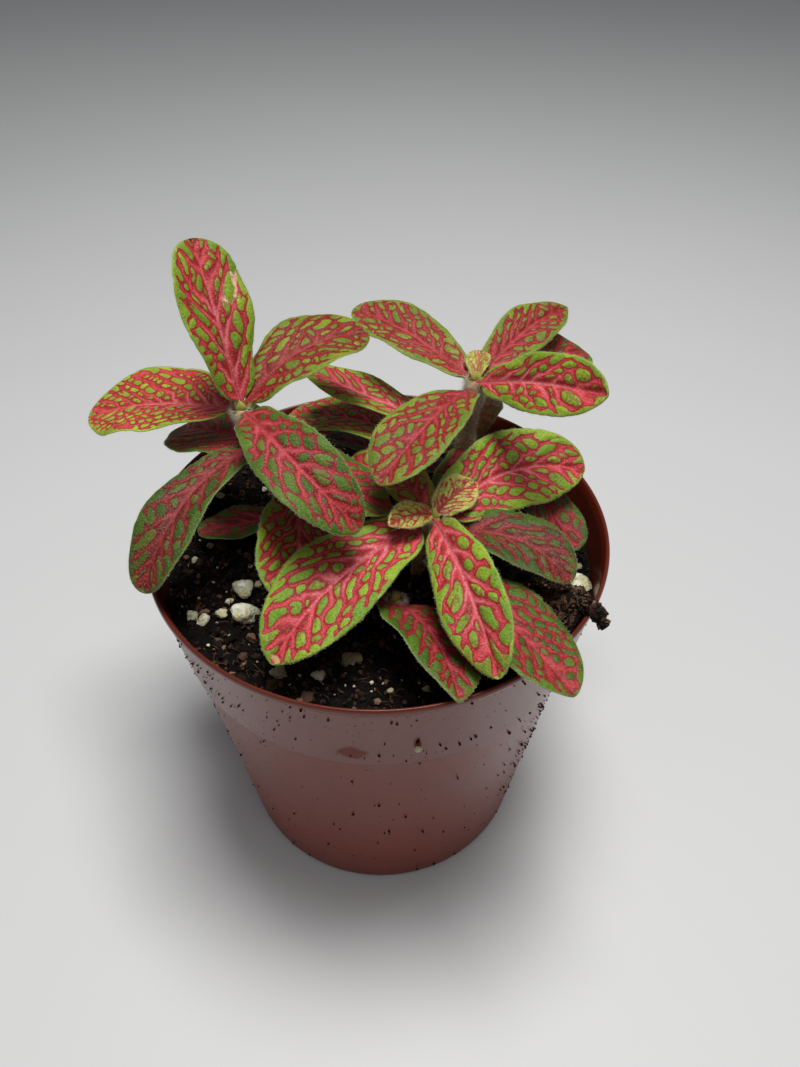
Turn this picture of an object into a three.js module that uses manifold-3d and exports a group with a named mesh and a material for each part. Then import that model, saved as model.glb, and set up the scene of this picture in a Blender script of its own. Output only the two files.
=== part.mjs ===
// A nerve plant with pink-netted leaves, growing on four leafy stems in a brown plastic nursery pot.
// Millimetres, +Z up. The pot's axis is the Z axis and its foot stands at z = 0; -Y is the front.
import * as THREE from "three";
import { mergeVertices } from "three/addons/utils/BufferGeometryUtils.js";
import Module from "manifold-3d";

const wasm = await Module();
wasm.setup();

// ---------------------------------------------------------------- driving dimensions
const POT_HEIGHT = 96.5;
const RIM_RADIUS = 52.5; // a 105 mm nursery pot
const BASE_RADIUS = 38.8;
const WALL = 1.0;
const STEP_HEIGHT = 71.7; // where the wider collar begins
const STEP_RADIUS = 48.6; // collar, at its lower edge
const STEP_LEDGE = 1.0;
const COLLAR_TOP_RADIUS = 51.9;
const LIP_HEIGHT = 2.2;
const FLOOR_GROOVE = 2.5; // the drained groove between foot ring and centre pad
const PAD_RADIUS = 12;
const RING_INNER_RADIUS = 32.6;
const DRAIN_HOLES = 8;
const DRAIN_HOLE_RADIUS = 3;
const DRAIN_CIRCLE_RADIUS = 25;
const POT_SIDES = 48;

const GAP = 0.35; // clearance between touching pieces
const SOIL_LEVEL = 86;
const SOIL_DISH = 1.2; // the surface sags towards the middle
const SOIL_LUMPS = 0.8;
const MOUND_HEIGHT = 10; // soil heaped against the right front of the rim
const MOUND_ANGLE = -30;
const MOUND_RADIUS = 48;
const MOUND_SPREAD = 9;

const STEM_RADIUS = 1.65;
const STEM_DEPTH = 11; // how far a stem stands in its hole
const STEM_SIDES = 8;
const NODE_SWELL = 0.28;
const NODE_LENGTH = 1.5;

const BLADE_THICKNESS = 0.75;
const PETIOLE_THICKNESS = 2.0;
const PETIOLE_HALF_WIDTH = 1.05;
const PETIOLE_SHARE = 0.08;
const BELLY = 0.85; // exponents of the blade's outline, towards the stem and towards the tip
const BLUNT = 0.52;
const CUP = 8; // degrees that each half of a blade rises from the midrib
const WAVE = 0.45;
const QUILT = 0.22;
const BLADE_ROWS = 11;
const BLADE_COLUMNS = 6;

// Each stem: foot on the soil, crown, and a sideways bow. Each leaf: height of its node, heading
// (0 = +X, 90 = +Y), rise at the stem and at the tip, turn of the heading, length, width and roll.
// A leaf whose outline differs from the common one has its own two exponents, belly and blunt.
const SHOOTS = [
  {
    name: "leafy_stem_left",
    foot: [-15, 13, 86],
    crown: [-29.5, 7, 122.5],
    bow: [-1, -2, 0],
    leaves: [
      { z: 121.5, heading: 120, rise: 74, droop: 51, turn: 2, length: 36.8, width: 18, roll: 20,
        belly: 0.8, blunt: 0.46 },
      { z: 121.5, heading: 44, rise: 45, droop: -17, turn: -27, length: 35.7, width: 19.5, roll: 4,
        belly: 0.9, blunt: 0.62 },
      { z: 121.5, heading: 149.5, rise: -9, droop: -20, turn: 34, length: 44, width: 25, roll: -6,
        belly: 0.83, blunt: 0.6 },
      { z: 121, heading: -64, rise: 33, droop: -51, turn: 52, length: 45, width: 15.5, roll: 17,
        belly: 0.86, blunt: 0.56 },
      { z: 114, heading: 145, rise: -8, droop: -31, turn: -10, length: 32, width: 22, roll: -3,
        belly: 0.6, blunt: 0.9 },
      { z: 114, heading: -38, rise: 7, droop: -31, turn: 39, length: 35, width: 17, roll: -5 },
      { z: 112, heading: -125, rise: 24, droop: -53, turn: 14, length: 45, width: 14.5, roll: 5,
        belly: 0.8, blunt: 0.5 },
      { z: 98, heading: -77, rise: 21, droop: -18, turn: -29, length: 39, width: 20, roll: -28 },
      { z: 89.5, heading: -157, rise: 7, droop: 1, turn: 0, length: 28, width: 12, roll: 4 },
    ],
  },
  {
    name: "leafy_stem_front",
    foot: [9, -5, 86],
    crown: [12, -10, 107],
    bow: [0, 0, 0],
    leaves: [
      { z: 107, heading: -146, rise: 45, droop: -9, turn: 11, length: 13, width: 6.5, roll: -29,
        belly: 0.8, blunt: 0.75 },
      { z: 107, heading: 51, rise: 17, droop: -9, turn: -19, length: 14, width: 9, roll: 24,
        belly: 0.8, blunt: 0.7 },
      { z: 106, heading: -76, rise: 26, droop: -39, turn: 8, length: 43, width: 14, roll: 32,
        belly: 0.88, blunt: 0.64 },
      { z: 106, heading: 116, rise: 13, droop: -36, turn: 40, length: 35, width: 15, roll: -8 },
      { z: 104.5, heading: -140.5, rise: 12, droop: -34, turn: 17.5, length: 47, width: 20.5, roll: -7,
        belly: 0.85, blunt: 0.67 },
      { z: 104.5, heading: 43, rise: 17, droop: -17, turn: -49, length: 42, width: 19, roll: 32,
        belly: 0.72, blunt: 0.55 },
      { z: 98, heading: -12, rise: 36, droop: -29, turn: -45, length: 36, width: 15, roll: 3,
        belly: 0.8, blunt: 0.6 },
      { z: 93, heading: -58.5, rise: 24, droop: -15, turn: 5.5, length: 52, width: 21.5, roll: -17.5,
        belly: 0.96, blunt: 0.64 },
    ],
  },
  {
    name: "leafy_stem_back",
    foot: [18, 19, 86],
    crown: [22, 19.5, 122],
    bow: [0, 0, 0],
    leaves: [
      { z: 122, heading: 85, rise: 36, droop: 14, turn: -17, length: 8, width: 6, roll: -9 },
      { z: 121, heading: 132, rise: 14, droop: 1.5, turn: 19.5, length: 38.5, width: 16, roll: -6,
        belly: 0.83, blunt: 0.52 },
      { z: 121.5, heading: 54, rise: 17, droop: -11, turn: -8, length: 40, width: 12.5, roll: 18,
        belly: 0.93, blunt: 0.8 },
      { z: 121, heading: -53, rise: 34, droop: 12, turn: 10, length: 38.5, width: 13.5, roll: 50,
        belly: 0.8, blunt: 0.52 },
      { z: 119, heading: -119, rise: 28, droop: -29, turn: -10, length: 41, width: 17.5, roll: 6,
        belly: 0.94, blunt: 0.6 },
      { z: 116, heading: 39, rise: 14, droop: -17, turn: 3, length: 39, width: 17.5, roll: 14,
        belly: 0.85, blunt: 0.52 },
      { z: 116, heading: 80, rise: -27, droop: -82, turn: 13, length: 31, width: 16, roll: -17 },
      { z: 106, heading: 162, rise: 17, droop: 8, turn: -12, length: 43, width: 15, roll: 7 },
      { z: 100, heading: 158, rise: 18, droop: -14, turn: 4, length: 46, width: 21, roll: 8 },
      { z: 97, heading: -32, rise: 16, droop: -26, turn: -44, length: 38, width: 14, roll: -7 },
      { z: 104, heading: -106, rise: -5, droop: -40, turn: 6, length: 21, width: 10, roll: -12 },
      { z: 94, heading: 156, rise: 11, droop: -7, turn: 0, length: 34, width: 15, roll: 19 },
    ],
  },
  {
    name: "leafy_stem_low",
    foot: [4, -20, 86],
    crown: [4, -20.3, 92],
    bow: [0, 0, 0],
    leaves: [
      { z: 90, heading: -61.5, rise: 37.5, droop: -9.5, turn: -22.5, length: 36, width: 20, roll: -25.5,
        belly: 0.6, blunt: 0.78 },
      { z: 90.5, heading: 165, rise: 30, droop: -25, turn: 0, length: 17, width: 8, roll: 0 },
    ],
  },
];

// White perlite grains in the soil: place and size.
const PERLITE = [
  { x: -30.5, y: -12.5, size: 5 },
  { x: -29, y: -20, size: 5.8 },
  { x: -40.5, y: -21, size: 2.8 },
  { x: -38, y: -22, size: 2.8 },
  { x: -34.5, y: -20, size: 2 },
  { x: -31.5, y: -26.5, size: 1.7 },
  { x: -20, y: -36, size: 3.3 },
  { x: -11.5, y: -36.5, size: 2.8 },
  { x: -3, y: -33, size: 5.8 },
  { x: 45.2, y: -12.6, size: 5 },
  { x: 44, y: -8, size: 1.8 },
  { x: 46.5, y: -5, size: 2.1 },
  { x: 10.5, y: -40, size: 2 },
  { x: 3, y: -40.5, size: 1.6 },
  { x: -41, y: 20, size: 2 },
  { x: -30, y: 23, size: 1.6 },
  { x: -40.5, y: 2, size: 1.7 },
  { x: -43, y: -3.5, size: 2.1 },
];

// The clod lying over the rim at the mound: place and radius of each of its lumps.
const SPILL = [
  { x: 42.1, y: -24.8, z: 96.2, radius: 2.4 },
  { x: 43.6, y: -26.7, z: 98.7, radius: 1.9 },
  { x: 44.8, y: -29, z: 98.7, radius: 1.7 },
  { x: 45.8, y: -30.6, z: 97.4, radius: 1.3 },
];

// ---------------------------------------------------------------- helpers
const rad = THREE.MathUtils.degToRad;

// A repeatable random number in 0..1 for a whole-number seed.
function draw(seed) {
  const x = Math.sin(seed * 127.1 + 311.7) * 43758.5453;
  return x - Math.floor(x);
}

function geometryOf(points, faces) {
  const g = new THREE.BufferGeometry();
  g.setAttribute("position", new THREE.Float32BufferAttribute(points.flat(), 3));
  g.setIndex(faces.flat());
  return g;
}

// A three.js geometry as a manifold solid, turned face out if it was made inside out.
function solid(geometry) {
  const g = geometry.clone();
  g.deleteAttribute("normal");
  g.deleteAttribute("uv");
  const merged = mergeVertices(g, 1e-3);
  const triVerts = new Uint32Array(merged.index.array);
  const vertProperties = new Float32Array(merged.attributes.position.array);
  const make = () => new wasm.Manifold(new wasm.Mesh({ numProp: 3, vertProperties, triVerts }));
  let made = make();
  if (made.volume() < 0) {
    for (let i = 0; i < triVerts.length; i += 3) {
      [triVerts[i + 1], triVerts[i + 2]] = [triVerts[i + 2], triVerts[i + 1]];
    }
    made = make();
  }
  return made;
}

function geometryFromSolid(made) {
  const mesh = made.getMesh();
  const g = new THREE.BufferGeometry();
  const positions = new Float32Array(mesh.numVert * 3);
  for (let i = 0; i < mesh.numVert; i++) {
    positions.set(mesh.vertProperties.subarray(i * mesh.numProp, i * mesh.numProp + 3), i * 3);
  }
  g.setAttribute("position", new THREE.BufferAttribute(positions, 3));
  g.setIndex(new THREE.BufferAttribute(mesh.triVerts, 1));
  return g;
}

// A closed skin over a list of rings of points, each ring ending in a single point if it has one.
function skin(rings) {
  const points = [];
  const starts = rings.map((ring) => points.push(...ring) - ring.length);
  const faces = [];
  for (let k = 0; k + 1 < rings.length; k++) {
    const n = Math.max(rings[k].length, rings[k + 1].length);
    const at = (ring, i) => starts[ring] + (rings[ring].length === 1 ? 0 : i % n);
    for (let i = 0; i < n; i++) {
      if (rings[k].length > 1) faces.push([at(k, i), at(k, i + 1), at(k + 1, i)]);
      if (rings[k + 1].length > 1) faces.push([at(k, i + 1), at(k + 1, i + 1), at(k + 1, i)]);
    }
  }
  return geometryOf(points, faces);
}

// ---------------------------------------------------------------- pot
const collarRadius = (z) =>
  STEP_RADIUS +
  ((COLLAR_TOP_RADIUS - STEP_RADIUS) * (z - STEP_HEIGHT)) / (POT_HEIGHT - LIP_HEIGHT - STEP_HEIGHT);
const bodyTopRadius = STEP_RADIUS - STEP_LEDGE;

function potGeometry() {
  const groove = FLOOR_GROOVE;
  const top = POT_HEIGHT;
  const foot = BASE_RADIUS;
  const profile = [
    [0, 0],
    [PAD_RADIUS, 0],
    [PAD_RADIUS + 1.4, groove],
    [RING_INNER_RADIUS - 1.4, groove],
    [RING_INNER_RADIUS, 0],
    [foot - 1.5, 0],
    [foot - 0.5, 0.4],
    [foot, 1.5],
    [bodyTopRadius, STEP_HEIGHT - 0.5],
    [STEP_RADIUS - 0.2, STEP_HEIGHT],
    [STEP_RADIUS, STEP_HEIGHT + 0.4],
    [COLLAR_TOP_RADIUS, top - LIP_HEIGHT],
    [RIM_RADIUS, top - LIP_HEIGHT + 0.7],
    [RIM_RADIUS, top - 0.7],
    [RIM_RADIUS - 0.45, top - 0.1],
    [RIM_RADIUS - 0.9, top],
    [RIM_RADIUS - 1.4, top - 0.25],
    [COLLAR_TOP_RADIUS - WALL, top - LIP_HEIGHT],
    [STEP_RADIUS - WALL, STEP_HEIGHT + 1.2],
    [bodyTopRadius - WALL, STEP_HEIGHT - 0.3],
    [foot - 1.2, 2.6],
    [foot - 1.9, 1.3],
    [RING_INNER_RADIUS + 0.7, 1.3],
    [RING_INNER_RADIUS - 0.7, groove + 1.2],
    [PAD_RADIUS + 0.7, groove + 1.2],
    [PAD_RADIUS - 0.7, 1.2],
    [0, 1.2],
  ].map(([r, z]) => new THREE.Vector2(r, z));
  const lathe = new THREE.LatheGeometry(profile, POT_SIDES);
  lathe.rotateX(Math.PI / 2);
  let pot = solid(lathe);
  for (let i = 0; i < DRAIN_HOLES; i++) {
    const hole = new THREE.CylinderGeometry(DRAIN_HOLE_RADIUS, DRAIN_HOLE_RADIUS, 4, 16);
    hole.rotateX(Math.PI / 2);
    hole.translate(DRAIN_CIRCLE_RADIUS, 0, groove);
    hole.rotateZ(((i + 0.5) * 2 * Math.PI) / DRAIN_HOLES);
    pot = pot.subtract(solid(hole));
  }
  return geometryFromSolid(pot);
}

// ---------------------------------------------------------------- stems
function stemPoint(shoot, v) {
  return [0, 1, 2].map(
    (i) => shoot.foot[i] + (shoot.crown[i] - shoot.foot[i]) * v + shoot.bow[i] * 4 * v * (1 - v),
  );
}

const shareAtHeight = (shoot, z) => (z - shoot.foot[2]) / (shoot.crown[2] - shoot.foot[2]);

// The stem as level rings round its line, swollen at each leaf node; `grow` widens and deepens it
// into the hole that it stands in.
function stemGeometry(shoot, grow = 0) {
  const low = SOIL_LEVEL - STEM_DEPTH - grow;
  const high = grow ? SOIL_LEVEL + 6 : shoot.crown[2] + 1;
  const steps = Math.max(grow ? 3 : 8, Math.round((high - low) / (grow ? 5 : 2)));
  const nodes = [...new Set(shoot.leaves.map((leaf) => leaf.z))];
  const rings = [[stemPoint(shoot, shareAtHeight(shoot, low))]];
  for (let k = 0; k <= steps; k++) {
    const z = low + ((high - low) * k) / steps;
    const [x, y] = stemPoint(shoot, shareAtHeight(shoot, z));
    const swell = Math.max(...nodes.map((n) => Math.exp(-(((z - n) / NODE_LENGTH) ** 2))));
    const r = grow ? STEM_RADIUS + grow : STEM_RADIUS * (1 + NODE_SWELL * swell);
    const ring = [];
    for (let i = 0; i < STEM_SIDES; i++) {
      const a = (2 * Math.PI * i) / STEM_SIDES;
      ring.push([x + r * Math.cos(a), y + r * Math.sin(a), z]);
    }
    rings.push(ring);
  }
  const tip = stemPoint(shoot, shareAtHeight(shoot, high));
  tip[2] += grow ? 0 : 1;
  rings.push([tip]);
  return skin(rings);
}

// ---------------------------------------------------------------- leaves
function outlineHalfWidth(leaf, s) {
  const t = THREE.MathUtils.clamp((s - PETIOLE_SHARE) / (1 - PETIOLE_SHARE), 0, 1);
  const { belly = BELLY, blunt = BLUNT } = leaf;
  const widest = belly / (belly + blunt);
  const most = widest ** belly * (1 - widest) ** blunt;
  const rise = belly * (0.72 + 0.28 * THREE.MathUtils.smoothstep(t, 0, 0.3)); // fuller at the stem
  const blade = ((leaf.width / 2) * t ** rise * (1 - t) ** blunt) / most;
  return Math.max(blade, s < 0.5 ? PETIOLE_HALF_WIDTH : 0);
}

// A blade: its midrib leaves the stem's middle and bends evenly, its halves rise a little from the
// midrib, the margin waves, and the field swells between the side veins.
function leafGeometry(shoot, leaf, seed) {
  const small = leaf.length < 20;
  const rows = small ? 8 : BLADE_ROWS;
  const columns = small ? 4 : BLADE_COLUMNS;
  const fine = 5;
  let point = new THREE.Vector3(...stemPoint(shoot, shareAtHeight(shoot, leaf.z)));
  const direction = (s) => {
    const h = rad(leaf.heading + leaf.turn * s * s);
    const p = rad(leaf.rise + (leaf.droop - leaf.rise) * s);
    return new THREE.Vector3(Math.cos(h) * Math.cos(p), Math.sin(h) * Math.cos(p), Math.sin(p));
  };
  const share = (i) => 1 - (1 - i / rows) ** 1.5;
  const top = [];
  const bottom = [];
  const phase = 2 * Math.PI * draw(seed);
  for (let i = 0; i <= rows; i++) {
    const s = share(i);
    if (i > 0) {
      const from = share(i - 1);
      for (let k = 0; k < fine; k++) {
        const mid = from + ((s - from) * (k + 0.5)) / fine;
        point = point.clone().addScaledVector(direction(mid), (leaf.length * (s - from)) / fine);
      }
    }
    const along = direction(s);
    const h = rad(leaf.heading + leaf.turn * s * s);
    const level = new THREE.Vector3(-Math.sin(h), Math.cos(h), 0);
    const up = new THREE.Vector3().crossVectors(along, level);
    const roll = rad(leaf.roll);
    const side = level.clone().multiplyScalar(Math.cos(roll)).addScaledVector(up, Math.sin(roll));
    const normal = new THREE.Vector3().crossVectors(along, side);
    const half = outlineHalfWidth(leaf, s);
    const thin = (small ? 0.65 : BLADE_THICKNESS) / 2;
    const thick = thin + Math.max(0, 1 - s / 0.12) * (PETIOLE_THICKNESS / 2 - thin);
    const count = i === rows ? 1 : columns + 1;
    for (let j = 0; j < count; j++) {
      const t = i === rows ? 0 : (2 * j) / columns - 1;
      const inner = Math.abs(t) > 0.01 && Math.abs(t) < 0.99 && s > 0.15;
      const wave = WAVE * Math.sin(15 * s + phase + t) * t * t * Math.min(1, half / 5);
      const quilt = inner && !small ? (i % 2 ? QUILT : -QUILT) : 0;
      const lift = half * Math.sin(rad(CUP)) * Math.abs(t) + wave + quilt;
      const centre = point
        .clone()
        .addScaledVector(side, half * t * Math.cos(rad(CUP)))
        .addScaledVector(normal, lift);
      top.push(centre.clone().addScaledVector(normal, thick).toArray());
      bottom.push(centre.clone().addScaledVector(normal, -thick).toArray());
    }
  }
  const n = columns + 1;
  const under = top.length;
  const faces = [];
  const sheet = (a, b, c) => {
    faces.push([a, b, c]);
    faces.push([under + a, under + c, under + b]);
  };
  const wall = (a, b) => {
    faces.push([b, a, under + a]);
    faces.push([b, under + a, under + b]);
  };
  for (let i = 0; i + 1 < rows; i++) {
    for (let j = 0; j < columns; j++) {
      const a = i * n + j;
      sheet(a, a + n, a + 1);
      sheet(a + 1, a + n, a + n + 1);
    }
    wall(i * n, (i + 1) * n);
    wall((i + 1) * n + columns, i * n + columns);
  }
  const last = (rows - 1) * n;
  const tip = rows * n;
  for (let j = 0; j < columns; j++) {
    sheet(last + j, tip, last + j + 1);
    wall(j + 1, j);
  }
  wall(last, tip);
  wall(tip, last + columns);
  return geometryOf([...top, ...bottom], faces);
}

function shootGeometry(shoot, index) {
  let made = solid(stemGeometry(shoot));
  shoot.leaves.forEach((leaf, k) => {
    made = made.add(solid(leafGeometry(shoot, leaf, 31 * index + k + 1)));
  });
  return geometryFromSolid(made);
}

// ---------------------------------------------------------------- soil
const SOIL_SIDES = POT_SIDES;

// Height of the soil's surface, with a seeded lump where a seed is given.
function soilHeight(x, y, seed) {
  const mx = MOUND_RADIUS * Math.cos(rad(MOUND_ANGLE));
  const my = MOUND_RADIUS * Math.sin(rad(MOUND_ANGLE));
  const away = Math.hypot(x - mx, y - my) / MOUND_SPREAD;
  const dish = SOIL_DISH * ((x * x + y * y) / 2000 - 0.5);
  const lump = seed === undefined ? 0 : SOIL_LUMPS * (2 * draw(seed) - 1);
  return SOIL_LEVEL + dish + MOUND_HEIGHT * Math.exp(-away * away) + lump;
}

function soilGeometry() {
  const ring = (r, height) => {
    const points = [];
    for (let i = 0; i < SOIL_SIDES; i++) {
      const a = (2 * Math.PI * i) / SOIL_SIDES;
      const z = typeof height === "number" ? height : height(r * Math.cos(a), r * Math.sin(a), i);
      points.push([r * Math.cos(a), r * Math.sin(a), z]);
    }
    return points;
  };
  const groove = FLOOR_GROOVE + 1.2 + GAP;
  const rings = [
    [[0, 0, 1.2 + GAP]],
    ring(PAD_RADIUS - 1.1, 1.2 + GAP),
    ring(PAD_RADIUS + 0.4, groove),
    ring(RING_INNER_RADIUS - 0.4, groove),
    ring(RING_INNER_RADIUS + 1.1, 1.3 + GAP),
    ring(BASE_RADIUS - 2.3, 1.3 + GAP),
    ring(BASE_RADIUS - 1.7, 2.9),
    ring(bodyTopRadius - WALL - GAP - 0.05, STEP_HEIGHT - 0.2),
    ring(STEP_RADIUS - WALL - GAP, STEP_HEIGHT + 1.4),
  ];
  // The top edge follows the tapered collar, whatever the height of the soil there.
  const edge = [];
  for (let i = 0; i < SOIL_SIDES; i++) {
    const a = (2 * Math.PI * i) / SOIL_SIDES;
    const z = soilHeight(50 * Math.cos(a), 50 * Math.sin(a), 900 + i);
    const r = collarRadius(z) - WALL - GAP;
    edge.push([r * Math.cos(a), r * Math.sin(a), z]);
  }
  rings.push(edge);
  const radii = [46.5, 41.5, 35.5, 29, 22, 15, 8];
  radii.forEach((r, k) => rings.push(ring(r, (x, y, i) => soilHeight(x, y, 1000 + 97 * k + i))));
  rings.push([[0, 0, SOIL_LEVEL - 0.5]]);
  let soil = solid(skin(rings));

  const grain = (x, y, z, radius, squash, seed, detail) => {
    const g = mergeVertices(new THREE.IcosahedronGeometry(radius, detail).deleteAttribute("normal"), 1e-3);
    return bumpy(g, seed).scale(1, 1, squash).rotateZ(6 * draw(seed + 5)).translate(x, y, z);
  };
  PERLITE.forEach(({ x, y, size }, k) => {
    const z = soilHeight(x, y) + size * 0.08;
    soil = soil.add(solid(grain(x, y, z, size / 2, 0.85, 40 + 7 * k, size > 4 ? 1 : 0)));
  });
  SPILL.forEach(({ x, y, z, radius }, k) => {
    soil = soil.add(solid(grain(x, y, z, radius, 0.95, 300 + 9 * k, 1)));
  });
  SHOOTS.forEach((shoot) => {
    soil = soil.subtract(solid(stemGeometry(shoot, GAP)));
  });
  const bodies = soil.decompose().sort((a, b) => b.volume() - a.volume());
  return geometryFromSolid(bodies[0]);
}

// Pushes each corner of a round lump in or out a little, by a seeded draw.
function bumpy(geometry, seed) {
  const plain = new THREE.BufferGeometry();
  plain.setAttribute("position", geometry.getAttribute("position").clone());
  plain.setIndex(geometry.index);
  const merged = mergeVertices(plain, 1e-3);
  const p = merged.attributes.position;
  for (let i = 0; i < p.count; i++) {
    const f = 0.88 + 0.2 * draw(seed + 13 * i);
    p.setXYZ(i, p.getX(i) * f, p.getY(i) * f, p.getZ(i) * f);
  }
  return merged;
}

// ---------------------------------------------------------------- assembly
const terracotta = new THREE.MeshStandardMaterial({ color: 0x8c4a3c, roughness: 0.38, metalness: 0 });
const peat = new THREE.MeshStandardMaterial({ color: 0x2a1c14, roughness: 0.95, metalness: 0 });
const foliage = new THREE.MeshStandardMaterial({ color: 0xb03a46, roughness: 0.55, metalness: 0 });

const group = new THREE.Group();
group.name = "potted_nerve_plant";

function addMesh(name, geometry, material) {
  geometry.computeVertexNormals();
  const mesh = new THREE.Mesh(geometry, material);
  mesh.name = name;
  group.add(mesh);
}

addMesh("pot", potGeometry(), terracotta);
addMesh("soil", soilGeometry(), peat);
SHOOTS.forEach((shoot, index) => addMesh(shoot.name, shootGeometry(shoot, index), foliage));

export default group;
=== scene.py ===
import math

import bpy
import numpy as np
from mathutils import Matrix, Vector


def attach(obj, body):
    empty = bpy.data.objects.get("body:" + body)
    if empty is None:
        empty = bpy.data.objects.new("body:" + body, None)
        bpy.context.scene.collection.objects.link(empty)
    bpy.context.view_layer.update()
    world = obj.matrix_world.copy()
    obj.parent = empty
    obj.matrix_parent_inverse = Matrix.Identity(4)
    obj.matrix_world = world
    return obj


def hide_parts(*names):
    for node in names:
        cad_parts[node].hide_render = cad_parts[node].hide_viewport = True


# A nerve plant with pink-netted leaves in a brown plastic nursery pot, seen from the front and above.
# Shapes are worked out in millimetres, in the frame of the CAD part, and stored in metres.

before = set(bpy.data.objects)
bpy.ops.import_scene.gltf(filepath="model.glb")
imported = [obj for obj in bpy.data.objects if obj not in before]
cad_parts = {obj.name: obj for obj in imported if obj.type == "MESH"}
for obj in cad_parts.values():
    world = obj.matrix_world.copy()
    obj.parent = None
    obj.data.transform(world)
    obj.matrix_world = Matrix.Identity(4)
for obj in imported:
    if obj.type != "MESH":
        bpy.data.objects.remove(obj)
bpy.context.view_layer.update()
MM = 0.001

# ---------------------------------------------------------------- the camera of the photograph
CAMERA_PLACE = (4.913, -144.873, 227.8)
CAMERA_DOWN = 43.0
CAMERA_ROLL = 0.27
FRAME_HEIGHT = 1067  # the longer side, in pixels
FOCAL_PIXELS = 850.0
SENSOR = 36.0

# Each light: name, place and size in metres, power, tint. All look at TARGET.
TARGET = (0, 0, 0.08)
LIGHTS = (
    ("key", (0.05, 0.03, 0.8), 0.28, 5.9, (1.0, 0.99, 0.96)),
    ("front", (0.12, -0.35, 0.95), 0.3, 0.8, (1.0, 0.99, 0.97)),
    ("fill", (-0.5, -0.5, 0.5), 0.6, 0.35, (0.98, 0.98, 1.0)),
)
SKY_COLOUR = (0.9, 0.92, 0.95, 1)
SKY_STRENGTH = 0.145
FLOOR_REACH = 3.0  # metres

# ---------------------------------------------------------------- the pot
POT_HEIGHT = 96.5
RIM_RADIUS = 52.5
BASE_RADIUS = 38.8
WALL = 1.0
STEP_HEIGHT = 71.7
STEP_RADIUS = 48.6
STEP_LEDGE = 1.0
COLLAR_TOP_RADIUS = 51.9
LIP_HEIGHT = 2.2
POT_FLOOR = 1.2
FLOOR_GROOVE = 2.5
PAD_RADIUS = 12.0
PAD_CENTRE = 4.0
RING_INNER_RADIUS = 32.6
DRAIN_HOLES = 8
DRAIN_HOLE_RADIUS = 3.0
DRAIN_CIRCLE_RADIUS = 25.0
POT_SEGMENTS = 256
# A rubbed spot low on the collar, in metres.
SMEAR_PLACE = (-0.0045, -0.0496, 0.0775)
# Specks of soil on the wall: angle and its spread, height and its spread, how many.
SPECKS = (
    (-140, 16, 84, 6, 95), (-158, 9, 52, 18, 70), (-28, 9, 48, 17, 190), (-40, 14, 88, 5, 34),
    (-78, 9, 76, 2, 16), (-90, 40, 48, 30, 130), (-100, 12, 92, 3, 20), (90, 75, 52, 26, 110),
)
# A white grain on the wall: angle, height and radius; and two specks over it: angle, height, size.
WALL_GRAIN = (-79.9, 79.7, 0.75)
WALL_SPECKS = ((-80, 82.6, 0.42), (-80.3, 82.0, 0.3))

# ---------------------------------------------------------------- the soil
GAP = 0.35
SOIL_LEVEL = 86.0
SOIL_DISH = 1.2
MOUND_HEIGHT = 10.0
MOUND_ANGLE = -30.0
MOUND_RADIUS = 48.0
MOUND_SPREAD = 9.0
# The middle of the heap, in metres.
HEAP_PLACE = (0.0405, -0.0225, 0.095)
SOIL_SEGMENTS = 480
SOIL_RINGS = 150
# Sizes and lifts of the clods in the soil's surface.
LUMPS = ((6.0, 1.0), (3.0, 1.2), (1.6, 1.1), (0.9, 0.7), (0.5, 0.4))
WHITE_GRAINS = 190
LOOSE_GRAINS = 4600
HEAP_GRAINS = 5200
HEAP_SPREAD = (4.5, 5.5)
CLOD_GRAINS = 900
FIBRES = 1300
FIBRE_POINTS = 9

# ---------------------------------------------------------------- stems and leaves
STEM_RADIUS = 1.65
STEM_DEPTH = 11.0
NODE_SWELL = 0.28
NODE_LENGTH = 1.5
STEM_STEP = 0.4
STEM_SEGMENTS = 40
BUD_SIZE = (1.25, 0.85, 3.0)  # two half-widths and the height
BLADE_THICKNESS = 0.72
PETIOLE_THICKNESS = 2.0
PETIOLE_HALF_WIDTH = 1.05
PETIOLE_SHARE = 0.08
BELLY = 0.85
BLUNT = 0.52
CUP = math.radians(8)
WAVE = 0.45
WAVE_TURN = 15  # radians of the wave along a blade
FOLD = 0.2
RIPPLES = (0.022, 0.014)  # of a margin, as shares of the half-width: the broad one and the fine one
FIELD_SWELL = 0.16
VEIN_RIDGE = 0.2
MIDRIB_GROOVE = 0.3
MIDRIB_RIDGE = 0.5
LEAF_GRID = (150, 68)
RIB_STEPS = 1200
SMALL_LEAF = 20.0  # a leaf shorter than this is young: a coarser grid, a finer net and a thinner blade
SMALL_GRID = (56, 28)
SMALL_THICKNESS = 0.6
SMALL_NET = 0.5
# The course of the side veins: x less VEIN_LEAN |y| less VEIN_BEND y^2 keeps its value along one of them.
VEIN_LEAN = 1.35
VEIN_BEND = 0.035
FIELD_POWER = 2.7
NOTCHED = 0.22  # share of the green fields that a short vein cuts into
# Hairs: how many for each millimetre, length, how far they lean, radius; then the tuft under the crown.
STEM_HAIRS = (110, 1.3, 0.4, 0.034)
MARGIN_HAIRS = (5, 0.42, 0.45, 0.026)
TUFT_HAIRS = 700
TUFT_HEIGHT = 5.0

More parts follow.
